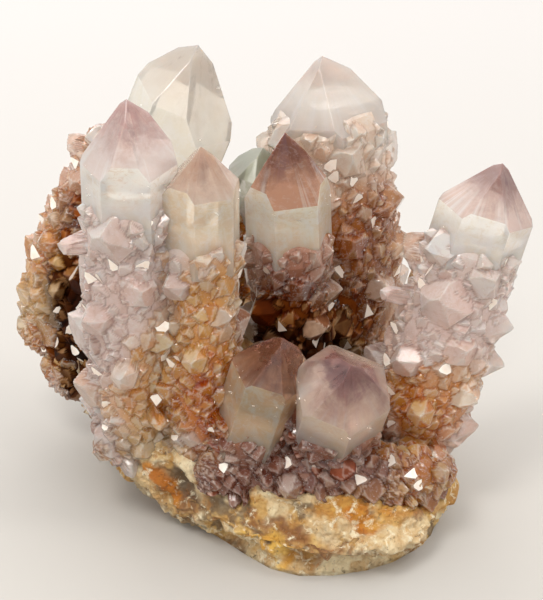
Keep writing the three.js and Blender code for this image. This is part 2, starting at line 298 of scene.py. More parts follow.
class SpecimenSizes(bpy.types.PropertyGroup):
    """How densely the stalks are coated."""

    followers: IntProperty(
        name="Followers", description="Smaller crystals round each leading one", default=4, min=0, max=12)
    fill_spacing: number_property(
        "Fill spacing", "Distance between the fine crystals", 0.0024, 0.001, 0.01, unit="LENGTH")
    fill_radius: number_property(
        "Fill radius", "Corner to axis, of the largest fine crystals", 0.0026, 0.0004, 0.005, unit="LENGTH")
    grid_pitch: number_property(
        "Grid pitch", "Distance between the points of a coated surface", 0.00027, 0.0001, 0.005,
        unit="LENGTH")
    edge_round: number_property(
        "Edge rounding", "Width of the worn edge on the clear points", 0.0001, 0.0, 0.001, unit="LENGTH")


class SpecimenStage(bpy.types.PropertyGroup):
    """The floor, the lights and the camera."""

    floor: colour_property("Floor", "Colour of the floor near the camera", (0.48, 0.46, 0.43))
    sky: number_property("Sky", "Strength of the light all round", 1.0, 0.0, 10.0)
    key: number_property("Key", "Power of the main soft light", 1.7, 0.0, 1000.0)
    back: number_property("Back", "Power of the light from behind", 1.2, 0.0, 1000.0)
    distance: number_property(
        "Distance", "From the camera to the specimen", 0.4, 0.05, 5.0, unit="LENGTH")
    tilt: number_property(
        "Tilt", "How far the camera looks down", np.radians(28), 0.0, 1.57, subtype="ANGLE")
    lens: number_property("Lens", "Focal length in millimetres", 136.8, 10.0, 400.0)


def chance(index, channel):
    """A steady number from 0 to 1 for each whole number and channel."""
    wave = np.sin(np.asarray(index) * 127.1 + channel * 311.7 + 17.3) * 43758.5453
    return wave - np.floor(wave)


def eased(share):
    """A share from 0 to 1, eased at both ends."""
    return share * share * (3 - 2 * share)


def lattice_noise(points, seed):
    """Smooth noise from -1 to 1: random values at lattice corners, blended between the nearest eight."""
    cell = np.floor(points).astype(np.int64)
    soft = eased(points - cell)
    total = np.zeros(points.shape[:-1])
    for corner in itertools.product((0, 1), repeat=3):
        key = (cell + corner) * (73856093, 19349663, 83492791)
        code = (key[..., 0] ^ key[..., 1] ^ key[..., 2]) + seed * 2654435761
        code = (code ^ (code >> 13)) * 1274126177 & 0xFFFFFFFF
        value = ((code ^ (code >> 16)) & 0xFFFF) / 65535
        total += value * np.prod(np.where(corner, soft, 1 - soft), axis=-1)
    return 2 * total - 1


def layered_noise(points, size, seed, layers=4):
    """Lattice noise at a size in millimetres, with finer and weaker layers of it added."""
    return sum(lattice_noise(points / size * 2.03**k, seed + k) * 0.5**k for k in range(layers))


def stepped_share(value, none, full):
    """From 0 at one limit to 1 at the other, eased at both ends."""
    return eased(np.clip((value - none) / (full - none), 0, 1))


def directions(angle):
    """Level directions at these angles round +Z."""
    return np.stack([np.cos(angle), np.sin(angle), np.zeros(len(angle))], axis=1)


def raised(out, rise):
    """Level directions, raised by these angles."""
    return out * np.cos(rise)[:, None] + np.array([0, 0, 1]) * np.sin(rise)[:, None]


def unit(vectors):
    """The same directions, one unit long."""
    return vectors / np.linalg.norm(vectors, axis=-1)[..., None]


def frame_of(stalk):
    """The untwisted turn from +Z onto the line from foot to tip, the foot, and the length."""
    foot, tip = np.array(stalk["foot"], float), np.array(stalk["tip"], float)
    length = np.linalg.norm(tip - foot)
    x, y, z = (tip - foot) / length
    cross = np.array([[0, 0, x], [0, 0, y], [-x, -y, 0]])
    return np.eye(3) + cross + cross @ cross / (1 + z), foot, length


def coat_radius(coat, share):
    """How thick a stalk's body is at a share of its way from root to collar."""
    return np.interp(np.clip(share, 0, 1), np.linspace(0, 1, len(coat)), coat)


def turns_to(facing):
    """For every direction, the turn that carries +Z onto it without twisting."""
    x, y, z = facing.T
    k = 1 / (1 + np.maximum(z, -0.999))
    rows = [[1 - k * x * x, -k * x * y, x], [-k * x * y, 1 - k * y * y, y], [-x, -y, z]]
    return np.array(rows).transpose(2, 0, 1)


def crystal_from_planes(normals, reaches):
    """The flat-faced solid behind a set of planes: every corner is where three planes meet, found for all
    triples at once, and each face's corners are put in order round its own middle."""
    triples = np.array(list(itertools.combinations(range(len(normals)), 3)))
    systems = normals[triples]
    good = np.abs(np.linalg.det(systems)) > 1e-5
    found = np.linalg.solve(systems[good], reaches[triples[good]][..., None])[..., 0]
    found = found[np.all(found @ normals.T <= reaches + 1e-6, axis=1)]
    _, first = np.unique(np.round(found, 4), axis=0, return_index=True)
    corners = found[first]
    faces, planes = [], []
    for plane, (normal, reach) in enumerate(zip(normals, reaches)):
        on = np.flatnonzero(np.abs(corners @ normal - reach) < 1e-4)
        if len(on) < 3:
            continue
        spokes = corners[on] - corners[on].mean(axis=0)
        side = np.cross(normal, spokes[0])
        ahead = spokes[0] / np.linalg.norm(spokes[0])
        turned = np.arctan2(spokes @ side / np.linalg.norm(side), spokes @ ahead)
        faces.append(on[np.argsort(turned)][None])
        planes.append(plane)
    return corners, faces, np.array(planes)


def quartz_planes(
    radius, bottom, height, spin=0.0, off=(0, 0), slope=TIP_NORMAL, further=(0,) * 6, uneven=(0,) * 6,
):
    """The planes of a quartz crystal on +Z: six upright sides, six sloping tip faces, and a flat root."""
    sides = (np.arange(6) + 0.5) * SIXTH + spin - np.pi / 2
    upright = directions(sides)
    tilt = np.radians(slope)
    sloping = upright * np.sin(tilt) + np.array([0, 0, np.cos(tilt)])
    normals = np.vstack([upright, sloping, [[0, 0, -1]]])
    reaches = np.concatenate([
        radius * np.cos(SIXTH / 2) * (1 + np.asarray(uneven)),
        sloping @ (*off, height) + radius * np.asarray(further),
        [-bottom],
    ])
    return normals, reaches


def mesh_object(name, points, faces, node, colour=None, flat=False, **numbers):
    """A new piece in a node's place, from points in millimetres and a list of arrays of faces, each row the
    corner numbers of one face, with values per point. Crystal faces are flat, and everything else is shaded
    smooth."""
    mesh = bpy.data.meshes.new(name)
    sizes = np.concatenate([np.full(len(part), part.shape[1]) for part in faces])
    corners = np.concatenate([part.ravel() for part in faces])
    mesh.vertices.add(len(points))
    mesh.vertices.foreach_set("co", (np.asarray(points) * MM).astype(np.float32).ravel())
    mesh.loops.add(len(corners))
    mesh.loops.foreach_set("vertex_index", corners.astype(np.int32))
    mesh.polygons.add(len(sizes))
    mesh.polygons.foreach_set("loop_start", (np.cumsum(sizes) - sizes).astype(np.int32))
    if colour is not None:
        layer = mesh.attributes.new("coat_colour", "FLOAT_COLOR", "POINT")
        values = np.column_stack([colour, np.ones(len(points))]).astype(np.float32)
        layer.data.foreach_set("color", values.ravel())
    for key, values in numbers.items():
        layer = mesh.attributes.new(key, "FLOAT", "POINT")
        layer.data.foreach_set("value", np.asarray(values, np.float32).ravel())
    mesh.update(calc_edges=True)
    mesh.validate()
    if flat:
        mesh.shade_flat()
    piece = bpy.data.objects.new(name, mesh)
    bpy.context.collection.objects.link(piece)
    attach(piece, "root")
    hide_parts(node)
    return piece


def grid_faces(rows, columns):
    """Corner numbers of the quads between rows of points that run round a body."""
    first = np.arange(rows - 1)[:, None] * columns
    column = np.arange(columns)[None, :]
    after = (column + 1) % columns
    quads = [first + column, first + after, first + columns + after, first + columns + column]
    return np.stack(quads, axis=-1).reshape(-1, 4)


def closed_tube(grid):
    """A grid of rows that run round a body, with a point in the middle of each end and fans of triangles to
    it, so that the surface is closed. Gives the points and the faces."""
    rows, columns = grid.shape[:2]
    step = np.arange(columns)
    after = (step + 1) % columns
    count, last = rows * columns, (rows - 1) * columns
    points = np.vstack([grid.reshape(-1, 3), grid[0].mean(axis=0), grid[-1].mean(axis=0)])
    under = np.column_stack([np.full(columns, count), after, step])
    over = np.column_stack([np.full(columns, count + 1), last + step, last + after])
    return points, [grid_faces(rows, columns), under, over]


def crystal_shapes():
    """Five uneven unit crystals with their apex at the origin: the outward normals of their twelve faces,
    and how far each face stands from the apex. Every crystal of a coat is one of these, scaled and
    turned."""
    steps = np.arange(KINDS * 6).reshape(KINDS, 6)
    further = np.where(steps % 2, 0.05 + 0.22 * chance(steps, 3), 0.1 * chance(steps, 4))
    uneven = 0.3 * (chance(steps, 5) - 0.6)
    made = [
        quartz_planes(1.0, 0.0, 0.0, chance(kind, 6), further=further[kind], uneven=uneven[kind])
        for kind in range(KINDS)
    ]
    return tuple(np.array([part[:SIDES] for part in parts]) for parts in zip(*made))


def standing(spin, turn):
    """Which unit crystal a crystal is, and the turn from that one to how the crystal stands."""
    c, s = np.cos(spin * SIXTH), np.sin(spin * SIXTH)
    return int(spin * 997) % KINDS, np.array([[c, s, 0], [-s, c, 0], [0, 0, 1]]) @ turn.T


def envelope(starts, rays, body, crystals):
    """How far along its ray each point of a coated surface lies, the numbers of the crystal and of the
    crystal's face that it lies on, or -1, and how squarely the ray meets that face, from 0 to 1. A crystal
    is the space behind its faces: a ray leaves it at the nearest of the faces that it runs out through, if
    that is past the farthest of those that it comes in through. The surface is where the ray leaves the
    last crystal, or the body where it meets none."""
    tips, aim, radius, spin = crystals
    shapes, offsets = crystal_shapes()
    turns = turns_to(aim)
    reach, square = body.copy(), np.ones(len(body))
    owner, facet = np.full(len(body), -1), np.full(len(body), -1)
    ground = starts + rays * body[:, None]
    for number, (tip, size) in enumerate(zip(tips, radius)):
        search = SEARCH_RADII * size + SEARCH_MARGIN
        near = np.flatnonzero(np.sum((ground - tip) ** 2, axis=1) < search**2)
        kind, turn = standing(spin[number], turns[number])
        normals = shapes[kind] @ turn
        run = rays[near] @ normals.T
        room = offsets[kind] * size - (starts[near] - tip) @ normals.T
        cross = room / np.where(np.abs(run) < 1e-6, 1e-6, run)
        outward = np.where(run > 0, cross, np.inf)
        leaving = outward.min(axis=1)
        coming = np.where(run < 0, cross, -np.inf).max(axis=1)
        better = (leaving > coming) & (leaving > reach[near]) & (leaving < body[near] + STAND_OUT * size)
        reach[near[better]] = leaving[better]
        owner[near[better]] = number
        plane = outward[better].argmin(axis=1)
        facet[near[better]] = number * SIDES + plane
        square[near[better]] = np.take_along_axis(run[better], plane[:, None], axis=1)[:, 0]
    return reach, owner, facet, square


def bright_plates(crystals, chosen):
    """Painted glints: thin white plates just outside some faces of the crystals, standing in for reflected
    light, each its face's outline drawn in a little.
    """
    tips, aim, radius, spin = crystals
    turns = turns_to(aim)
    shapes, offsets = crystal_shapes()
    solids = [
        crystal_from_planes(np.vstack([normals, (0, 0, -1)]), np.append(reaches, ROOT))
        for normals, reaches in zip(shapes, offsets)
    ]
    points, faces, count = [], [], 0
    for facet in chosen:
        number, plane = divmod(facet, SIDES)
        kind, turn = standing(spin[number], turns[number])
        corners, outlines, planes = solids[kind]
        outline = corners[outlines[np.flatnonzero(planes == plane)[0]][0]]
        middle = outline.mean(axis=0)
        outline = (middle + PLATE_SHARE * (outline - middle)) * radius[number]
        points.append((outline + PLATE_LIFT * shapes[kind][plane]) @ turn + tips[number])
        faces.append(np.arange(count, count + len(outline))[None])
        count += len(outline)
    return np.vstack(points), faces


def body_radius(stalk, collar, height):
    """How thick the stalk is under its coat: its own thickness, widened to the clear point below the
    collar, and drawn in to inside the clear point above it."""
    body = coat_radius(stalk["coat"], height / collar)
    wide = np.maximum(body, COLLAR_BELOW * stalk["radius"])
    body = body + (wide - body) * np.clip((height - collar + COLLAR_START) / COLLAR_RUN, 0, 1)
    if not stalk["radius"]:
        return body
    above = np.clip((height - collar) / CLIMB, 0, 1)
    return body + (COLLAR_ABOVE * stalk["radius"] - body) * above


def stalk_rays(stalk, collar, pitch, open_foot):
    """A grid of rays over a stalk in its own frame: straight out from the axis along its height, and
    fanning over both ends, where the body is half an ellipsoid. Gives the starts, the directions, and the
    body's thickness."""
    climb = CLIMB if stalk["radius"] else 0
    heights = np.linspace(0, collar + climb, int((collar + climb) / pitch))
    first, last = body_radius(stalk, collar, heights[[0, -1]])
    foot_rows = int(1.4 * first / pitch) if open_foot else 6
    head_rows = HEAD_ROWS if stalk["radius"] else int(1.4 * last / pitch)
    down = np.linspace(-np.pi / 2, 0, foot_rows + 2)[1:-1]
    up = np.linspace(0, np.pi / 2, head_rows + 2)[1:-1]
    lift = np.concatenate([down, np.zeros(len(heights)), up])
    along = np.concatenate([np.zeros(len(down)), heights, np.full(len(up), heights[-1])])
    flat = HEAD_FLATNESS if stalk["radius"] else TOP_FLATNESS
    body = np.concatenate([
        first / np.hypot(np.cos(down), np.sin(down) / FOOT_FLATNESS),
        body_radius(stalk, collar, heights),
        last / np.hypot(np.cos(up), np.sin(up) / flat),
    ])
    columns = int(2 * np.pi * (np.mean(stalk["coat"]) + 1.5) / pitch)
    round_ = np.arange(columns) / columns * 2 * np.pi
    rays = directions(round_) * np.cos(lift)[:, None, None]
    rays[..., 2] = np.sin(lift)[:, None]
    starts = np.zeros_like(rays)
    starts[..., 2] = along[:, None]
    return starts, rays, np.broadcast_to(body[:, None], rays.shape[:2])


def leaders(stalk, length):
    """Where the stalk's leading crystals stand: their roots, directions, widths and lengths, along a
    spiral."""
    index = np.arange(stalk["crystals"])
    share = (index + 0.5) / stalk["crystals"]
    round_ = index * GOLDEN_ANGLE + chance(index, 1) * 0.5
    shouldered = index % 5 == 2
    low, high = stalk["size"]
    radius = (low + (high - low) * chance(index, 2)) * np.where(shouldered, 0.72, 1)
    reach = radius * 1.2 + np.where(shouldered, 2.4 + 1.6 * chance(index, 3), 0)
    rise = np.radians(stalk["lean"] + 26 * (chance(index, 4) - 0.5))
    out = directions(round_)
    facing = raised(out, rise)
    root = out * (coat_radius(stalk["coat"], share) - SUNK)[:, None]
    root[:, 2] = (length - stalk["clear"]) * share
    return root, facing, radius, reach


def leading_crystals(stalk, length):
    """One crystal up the middle of each leading place."""
    root, facing, radius, reach = leaders(stalk, length)
    spin = chance(np.arange(len(root)), 7)
    return root + facing * (reach + 0.3)[:, None], facing, radius * (0.85 + 0.2 * spin), spin


def follower_crystals(stalk, length, followers):
    """Smaller crystals in a ring round each leading one, a little lower and turned outwards from it."""
    root, facing, radius, reach = leaders(stalk, length)
    count = len(root)
    index = np.arange(count * followers)
    lead = index // followers
    round_ = (index % followers + 0.6 * chance(index, 11)) * 2 * np.pi / followers
    turn = turns_to(facing)[lead]
    aside = turn[:, :, 0] * np.cos(round_)[:, None] + turn[:, :, 1] * np.sin(round_)[:, None]
    out = radius[lead] * (0.5 + 0.5 * chance(index, 12))
    fall = out * (0.85 + 0.3 * chance(index, 13))
    tips = root[lead] + facing[lead] * (reach[lead] - fall)[:, None] + aside * out[:, None]
    tilt = 0.12 + 0.42 * chance(index, 14)
    aim = unit(facing[lead] + aside * tilt[:, None])
    spin = chance(index, 15)
    return tips, aim, radius[lead] * (0.3 + 0.32 * chance(index, 16)), spin


def fill_crystals(stalk, length, spacing, largest):
    """Fine crystals along a dense spiral that close the surface between the larger ones, and climb a little
    way up the sides of the clear point."""
    collar = length - stalk["clear"]
    over = CLIMB if stalk["radius"] else 0.0
    area = 2 * np.pi * np.mean(stalk["coat"]) * (collar + over)
    index = np.arange(int(area / (spacing * spacing)))
    share = (index + 0.5) / len(index)
    height = share * (collar + over)
    round_ = index * GOLDEN_ANGLE + 0.4 * chance(index, 21)
    climbing = np.clip((height - collar) / max(over, 1), 0, 1)
    body = body_radius(stalk, collar, height)
    size = largest * (0.66 + 0.34 * chance(index, 22)) * (1 - 0.4 * climbing)
    keep = chance(index, 23) > climbing * 0.6
    stand = size * (0.28 + 0.34 * chance(index, 24)) + 0.1
    rise = np.radians(stalk["lean"] + 44 * (chance(index, 25) - 0.42) + 25 * climbing)
    swing = 0.7 * (chance(index, 26) - 0.5)
    aim = raised(directions(round_ + swing), rise)
    tips = directions(round_) * body[:, None] + aim * stand[:, None]
    tips[:, 2] += height
    spin = chance(index, 27)
    return tips[keep], aim[keep], size[keep], spin[keep]


def foot_crystals(stalk, largest):
    """Crystals that round off the lower end of a stalk where it hangs clear of the rock."""
    index = np.arange(FOOT_CRYSTALS)
    share = (index + 0.5) / len(index)
    down = np.arccos(1 - share)
    round_ = index * GOLDEN_ANGLE
    aim = np.stack([np.sin(down) * np.cos(round_), np.sin(down) * np.sin(round_), -np.cos(down)], axis=1)
    spin = chance(index, 31)
    size = largest * (0.45 + 0.5 * chance(index, 32))
    tips = aim * stalk["coat"][0] * (1, 1, FOOT_FLATNESS) + aim * (0.2 + 0.5 * size)[:, None]
    return tips, aim, size, spin


def stained(made, cover, name):
    """Colours with a named one laid over them, as far as it covers each."""
    colour = np.array(getattr(bpy.context.scene.specimen_colours, name))
    return made * (1 - cover[..., None]) + colour * cover[..., None]


def stain_colours(points, index, base):
    """Colour of each crystal: the base colour, then each stain, or patch of painted shade, laid over it by a
    soft fall-off from the middle of its patch, with ragged edges from noise, and a small change of its own."""
    made = stained(np.zeros((len(points), 3)), np.ones(len(points)), base)
    ragged = layered_noise(points, 7.0, 5, 3) * 0.35 + (chance(index, 41) - 0.5) * 0.5
    for middle, reach, name, strength in STAINS:
        away = np.linalg.norm((points - middle) / reach, axis=1) + ragged
        made = stained(made, strength * stepped_share(away, 1.5, 0.5), name)
    return made ** (1.25 - 0.5 * chance(index, 42))[:, None]


def bordering(numbers):
    """Marks the cells of a grid of numbers whose next cell, along row or column, has another number."""
    return (numbers != np.roll(numbers, -1, axis=0)) | (numbers != np.roll(numbers, -1, axis=1))


def coat_piece(name, node, starts, rays, body, crystals, base, pitch, milky_rows=0):
    """One coated surface as a closed piece. Each crystal has its own colour, a little paler towards its tip,
    each of its faces a random depth of it as painted shading, with painted highlights on the edges between
    the faces and painted shade in the clefts round the crystal. Some faces get painted glints, as a piece of
    their own."""
    shape = body.shape
    flat = [part.reshape(-1, 3) for part in (starts, rays)]
    reach, owner, facet, square = envelope(*flat, body.ravel(), crystals)
    points, faces = closed_tube((flat[0] + flat[1] * reach[:, None]).reshape(*shape, 3))
    tips, aim, radius, _ = crystals
    drop = np.sum((points[:-2] - tips[owner]) * aim[owner], axis=1) / radius[owner]
    pale = np.where(owner < 0, 0, np.clip(1 + drop / 1.3, 0, 1))[:, None]
    bare = stain_colours(points[:-2], np.zeros(len(owner)), base)
    colour = np.where(owner[:, None] < 0, bare, stain_colours(tips, np.arange(len(tips)), base)[owner])
    # Crystals of dark colour take the shaded copy of the quartz: painted shade
    dim = np.append(colour.max(axis=1) < DARK_BELOW, [True, True])
    # Cells where one crystal meets another are painted shade: deeper and darker in colour
    cleft = bordering(owner.reshape(shape)).reshape(-1, 1)
    # Edges between the faces of one crystal, lightened towards milky white below: painted highlights, weaker
    # on darker crystals
    edge = bordering(facet.reshape(shape)).reshape(-1, 1) & ~cleft
    edge = edge * stepped_share(colour.max(axis=1), 0.2, 0.7)[:, None]
    # Depth of colour: paler towards the tip, a random painted shading for each face, and deeper in the clefts
    # as painted shade
    depth = 1.35 - 0.4 * pale + FACE_DEPTH * (chance(facet, 44) - 0.5)[:, None] + 0.5 * cleft
    colour = colour ** depth * (1 - 0.25 * cleft)
    colour = colour + 0.45 * edge * (np.array(MILKY) - colour)
    cells = np.bincount(facet + 1)[facet + 1]
    whole = cells * pitch * pitch > 0.5 * square * radius[owner] ** 2
    sloping = (facet >= 0) & (facet % SIDES > 5)
    fit = (radius[owner] > BRIGHT_SIZES[0]) & (radius[owner] < BRIGHT_SIZES[1]) & (square > 0.6)
    # Some whole sloping faces of mid-sized crystals, turned outwards, are chosen for painted glints
    bright = np.unique(facet[sloping & whole & fit & (chance(facet, 43) > BRIGHT_FACES)])
    colour = colour.reshape(*shape, 3)
    colour[len(colour) - milky_rows:] = MILKY
    colour = colour.reshape(-1, 3)
    colour = np.vstack([colour, colour[:1], colour[-1:]])
    piece = mesh_object(name, points, faces, node, colour, flat=True)
    for key in ("druse_quartz", "shaded_quartz"):
        piece.data.materials.append(bpy.data.materials[key])
    kinds = [dim[part[:, 0]] for part in faces]
    piece.data.polygons.foreach_set("material_index", np.concatenate(kinds).astype(np.int32))
    # The painted glints: white plates kept as a piece of their own
    if len(bright):
        plates = mesh_object(f"bright_{name}", *bright_plates(crystals, bright), node, flat=True)
        plates.data.materials.append(bpy.data.materials["bright_quartz"])


def new_material(name):
    """An empty node material with its Principled shader and object coordinates."""
    material = bpy.data.materials.new(name)
    material.use_nodes = True
    tree = material.node_tree
    place = tree.nodes.new("ShaderNodeTexCoord").outputs["Object"]
    return material, tree, tree.nodes["Principled BSDF"], place


def add_node(tree, kind, inputs=None, **settings):
    """A node with its settings. Inputs are values or the sockets that feed them."""
    node = tree.nodes.new(kind)
    for key, value in settings.items():
        setattr(node, key, value)
    for key, value in (inputs or {}).items():
        socket = node.inputs[key]
        if isinstance(value, bpy.types.NodeSocket):
            tree.links.new(value, socket)
        elif socket.type == "RGBA":
            socket.default_value = (*value, 1)[:4]
        else:
            socket.default_value = value
    return node


def stored(tree, name, output="Fac"):
    """A value or colour that the mesh keeps for each of its points or faces."""
    return add_node(tree, "ShaderNodeAttribute", attribute_name=name).outputs[output]


def noise(tree, place, scale, detail=4.0, roughness=0.55, distortion=0.0):
    """Fine-grained noise from 0 to 1 at a scale per metre."""
    values = dict(Vector=place, Scale=scale, Detail=detail, Roughness=roughness, Distortion=distortion)
    return add_node(tree, "ShaderNodeTexNoise", values).outputs["Fac"]


def stepped(tree, value, low, high, to=(0.0, 1.0)):
    """A value spread from its low and high limits to new ones, and held within them."""
    inputs = {"Value": value, "From Min": low, "From Max": high, "To Min": to[0], "To Max": to[1]}
    return add_node(tree, "ShaderNodeMapRange", inputs, clamp=True).outputs["Result"]


def blended(tree, factor, first, second, how="MIX"):
    """Two colours mixed by a factor."""
    inputs = {0: factor, 6: first, 7: second}
    return add_node(tree, "ShaderNodeMix", inputs, data_type="RGBA", blend_type=how).outputs[2]


def worked(tree, how, first, second):
    """A sum or other plain calculation on two values."""
    return add_node(tree, "ShaderNodeMath", {0: first, 1: second}, operation=how).outputs[0]


def vector_worked(tree, how, first, second=(0, 0, 0)):
    """A plain calculation on two vectors."""
    return add_node(tree, "ShaderNodeVectorMath", {0: first, 1: second}, operation=how).outputs[0]


def grouped(tree, name, **values):
    """What a shared group of nodes puts out for these values."""
    return add_node(tree, "ShaderNodeGroup", values, node_tree=bpy.data.node_groups[name]).outputs[0]


def bumped(tree, height, strength, distance):
    """A normal that follows a height map."""
    inputs = {"Height": height, "Strength": strength, "Distance": distance}
    return add_node(tree, "ShaderNodeBump", inputs).outputs["Normal"]


def shader_group(name, inputs, output, kind):
    """A group of nodes that materials share: its tree, what it is given, and the socket that it fills."""
    group = bpy.data.node_groups.new(name, "ShaderNodeTree")
    for key, sort in inputs.items():
        group.interface.new_socket(name=key, in_out="INPUT", socket_type=f"NodeSocket{sort}")
    group.interface.new_socket(name=output, in_out="OUTPUT", socket_type=f"NodeSocket{kind}")
    return group, group.nodes.new("NodeGroupInput").outputs, group.nodes.new("NodeGroupOutput").inputs[output]


def patch_group():
    """Ragged patches: layered noise, cut off softly between two limits."""
    values = ("Scale", "Detail", "Roughness", "Distortion", "Low", "High", "From", "To")
    inputs = {"Place": "Vector", **dict.fromkeys(values, "Float")}
    tree, given, made = shader_group("patches", inputs, "Mask", "Float")
    field = noise(tree, *(given[key] for key in ("Place", "Scale", "Detail", "Roughness", "Distortion")))
    tree.links.new(stepped(tree, field, given["Low"], given["High"], (given["From"], given["To"])), made)


def patches(tree, place, scale, low, high, to=(0.0, 1.0), detail=4.0, roughness=0.55, distortion=0.0):
    """A mask of ragged patches."""
    limits = dict(Low=low, High=high, From=to[0], To=to[1])
    return grouped(
        tree, "patches", Place=place, Scale=scale, Detail=detail, Roughness=roughness, Distortion=distortion,
        **limits)


def grain_group():
    """A fine uneven surface: a normal that follows noise."""
    values = dict.fromkeys(("Scale", "Detail", "Strength", "Distance"), "Float")
    tree, given, made = shader_group("grain", {"Place": "Vector", **values}, "Normal", "Vector")
    field = noise(tree, given["Place"], given["Scale"], given["Detail"], 0.6)
    tree.links.new(bumped(tree, field, given["Strength"], given["Distance"]), made)


def grain(tree, place, scale, detail, strength, distance):
    """A normal for a fine uneven surface."""
    depth = dict(Strength=strength, Distance=distance)
    return grouped(tree, "grain", Place=place, Scale=scale, Detail=detail, **depth)


def growth_group():
    """The relief of a clear point: growth lines across it and a faint waviness."""
    inputs = {"Place": "Vector", "Along": "Float"}
    tree, given, made = shader_group("growth_lines", inputs, "Normal", "Vector")
    lines = add_node(tree, "ShaderNodeCombineXYZ", {"Z": given["Along"]}).outputs["Vector"]
    ripple = worked(tree, "MULTIPLY", noise(tree, lines, 34, 5, 0.7), 0.6)
    ripple = worked(tree, "ADD", ripple, noise(tree, given["Place"], 240, 2))
    tree.links.new(bumped(tree, ripple, 0.12, 0.0003), made)


def tone_group():
    """The colour of a clear point: its sloping faces from the shoulder to the tip, and its pale upright
    faces, icy and cloudy towards the shoulder. Dark and milky streaks fan out from the tip."""
    inputs = dict.fromkeys(("Place", "Apex"), "Vector")
    inputs |= dict.fromkeys(("Along", "Crown", "Smudge", "Ice"), "Float")
    inputs |= dict.fromkeys(("Root", "Body", "Shoulder", "Tip", "White"), "Color")
    tree, given, made = shader_group("point_tone", inputs, "Color", "Color")
    place, along, crown, white = (given[key] for key in ("Place", "Along", "Crown", "White"))
    upright = worked(tree, "SUBTRACT", 1.0, crown)
    spokes = vector_worked(tree, "NORMALIZE", vector_worked(tree, "SUBTRACT", place, given["Apex"]))
    fan = noise(tree, spokes, 3.2, 5, 0.58, 1.0)
    wander = worked(tree, "MULTIPLY", worked(tree, "ADD", noise(tree, place, 230, 5, 0.65, 0.5), fan), 0.5)
    reached = worked(tree, "ADD", along, worked(tree, "SUBTRACT", wander, 0.5))
    lower = blended(tree, stepped(tree, reached, 0.1, 0.4), given["Root"], given["Body"])
    upper = blended(tree, stepped(tree, reached, 0.6, 0.86), given["Shoulder"], given["Tip"])
    tone = blended(tree, crown, lower, upper)
    cloud = stepped(tree, noise(tree, place, 420, 6, 0.68, 0.8), 0.5, 0.62, (0.0, 0.8))
    tone = blended(tree, worked(tree, "MULTIPLY", cloud, upright), tone, white)
    crackle = noise(tree, vector_worked(tree, "MULTIPLY", place, (1, 1, 1.6)), 560, 7, 0.74, 0.9)
    high = worked(tree, "MULTIPLY", stepped(tree, along, 0.2, 0.5), given["Ice"])
    high = worked(tree, "MULTIPLY", high, stepped(tree, crown, 0.0, 1.0, (1.0, 0.15)))
    cracked = worked(tree, "MULTIPLY", stepped(tree, crackle, 0.5, 0.42, (0.0, 0.9)), high)
    tone = blended(tree, cracked, tone, (0.87, 0.79, 0.73), "MULTIPLY")
    icy = worked(tree, "MULTIPLY", stepped(tree, crackle, 0.53, 0.58, (0.0, 0.9)), high)
    tone = blended(tree, icy, tone, (1.0, 0.97, 0.93))
    low = stepped(tree, along, 0.6, 0.8, (0.7, 0.0))
    tone = blended(tree, worked(tree, "MULTIPLY", stepped(tree, fan, 0.5, 0.62), low), tone, white)
    dark = worked(tree, "MULTIPLY", stepped(tree, along, 0.6, 0.85), given["Smudge"])
    dark = worked(tree, "MULTIPLY", dark, stepped(tree, fan, 0.5, 0.38))
    spots = stepped(tree, noise(tree, place, 340, 6, 0.66, 0.7), 0.42, 0.6)
    tree.links.new(blended(tree, worked(tree, "MULTIPLY", dark, spots), tone, (0.18, 0.06, 0.07)), made)


def surfaced(tree, shader, base, roughness, normal=None):
    """Feeds a shader its colour, its roughness and, where given, its normal."""
    for key, socket in (("Base Color", base), ("Roughness", roughness), ("Normal", normal)):
        if socket is not None:
            tree.links.new(socket, shader.inputs[key])


def set_shader(shader, **values):
    """Even values of a shader, named with underscores for spaces."""
    for key, value in values.items():
        shader.inputs[key.replace("_", " ")].default_value = value


def druse_material():
    """Small quartz crystals: their own colours, cloudy patches, painted shade in ragged clefts, tiny painted
    sparkles of highlight, glassy or frosted faces.
    """
    material, tree, shader, place = new_material("druse_quartz")
    base = stored(tree, "coat_colour", "Color")
    cloud = patches(tree, place, 1100, 0.52, 0.66, (0, 0.4), 5, 0.65, 0.6)
    base = blended(tree, cloud, base, (0.97, 0.92, 0.88))
    # Ragged dark patches: painted shade of clefts between the crystals
    cleft = patches(tree, place, 800, 0.5, 0.66, (0, 0.35), 5, 0.65, 0.8)
    base = blended(tree, cleft, base, (0.70, 0.56, 0.50), "MULTIPLY")
    grime = patches(tree, place, 260, 0.5, 0.72, (0, 0.3))
    base = blended(tree, grime, base, (0.52, 0.36, 0.24), "MULTIPLY")
    # Tiny white specks: painted sparkles of highlight
    sparks = patches(tree, place, 2600, 0.66, 0.71, (0, 0.8), 2)
    base = blended(tree, sparks, base, (1.0, 0.98, 0.95))
    frost = patches(tree, place, 420, 0.5, 0.7, (0, 0.2), 2)
    surfaced(tree, shader, base, frost, grain(tree, place, 1400, 4, 0.1, 0.0002))
    set_shader(shader, IOR=1.54, Transmission_Weight=0.6, Subsurface_Weight=1.0, Subsurface_Scale=0.0004)
    shader.inputs["Subsurface Radius"].default_value = (1.0, 0.9, 0.8)


def bright_material():
    """Painted glints: the same quartz painted white and glossy, with a faint warm cloud, standing in for
    faces that reflect the light.
    """
    material, tree, shader, place = new_material("bright_quartz")
    base = blended(tree, patches(tree, place, 700, 0.4, 0.7), (0.95, 0.89, 0.81), (0.90, 0.77, 0.66))
    frost = patches(tree, place, 900, 0.3, 0.7, (0.05, 0.3))
    surfaced(tree, shader, base, frost, grain(tree, place, 1200, 3, 0.1, 0.0002))
    set_shader(shader, IOR=1.54)


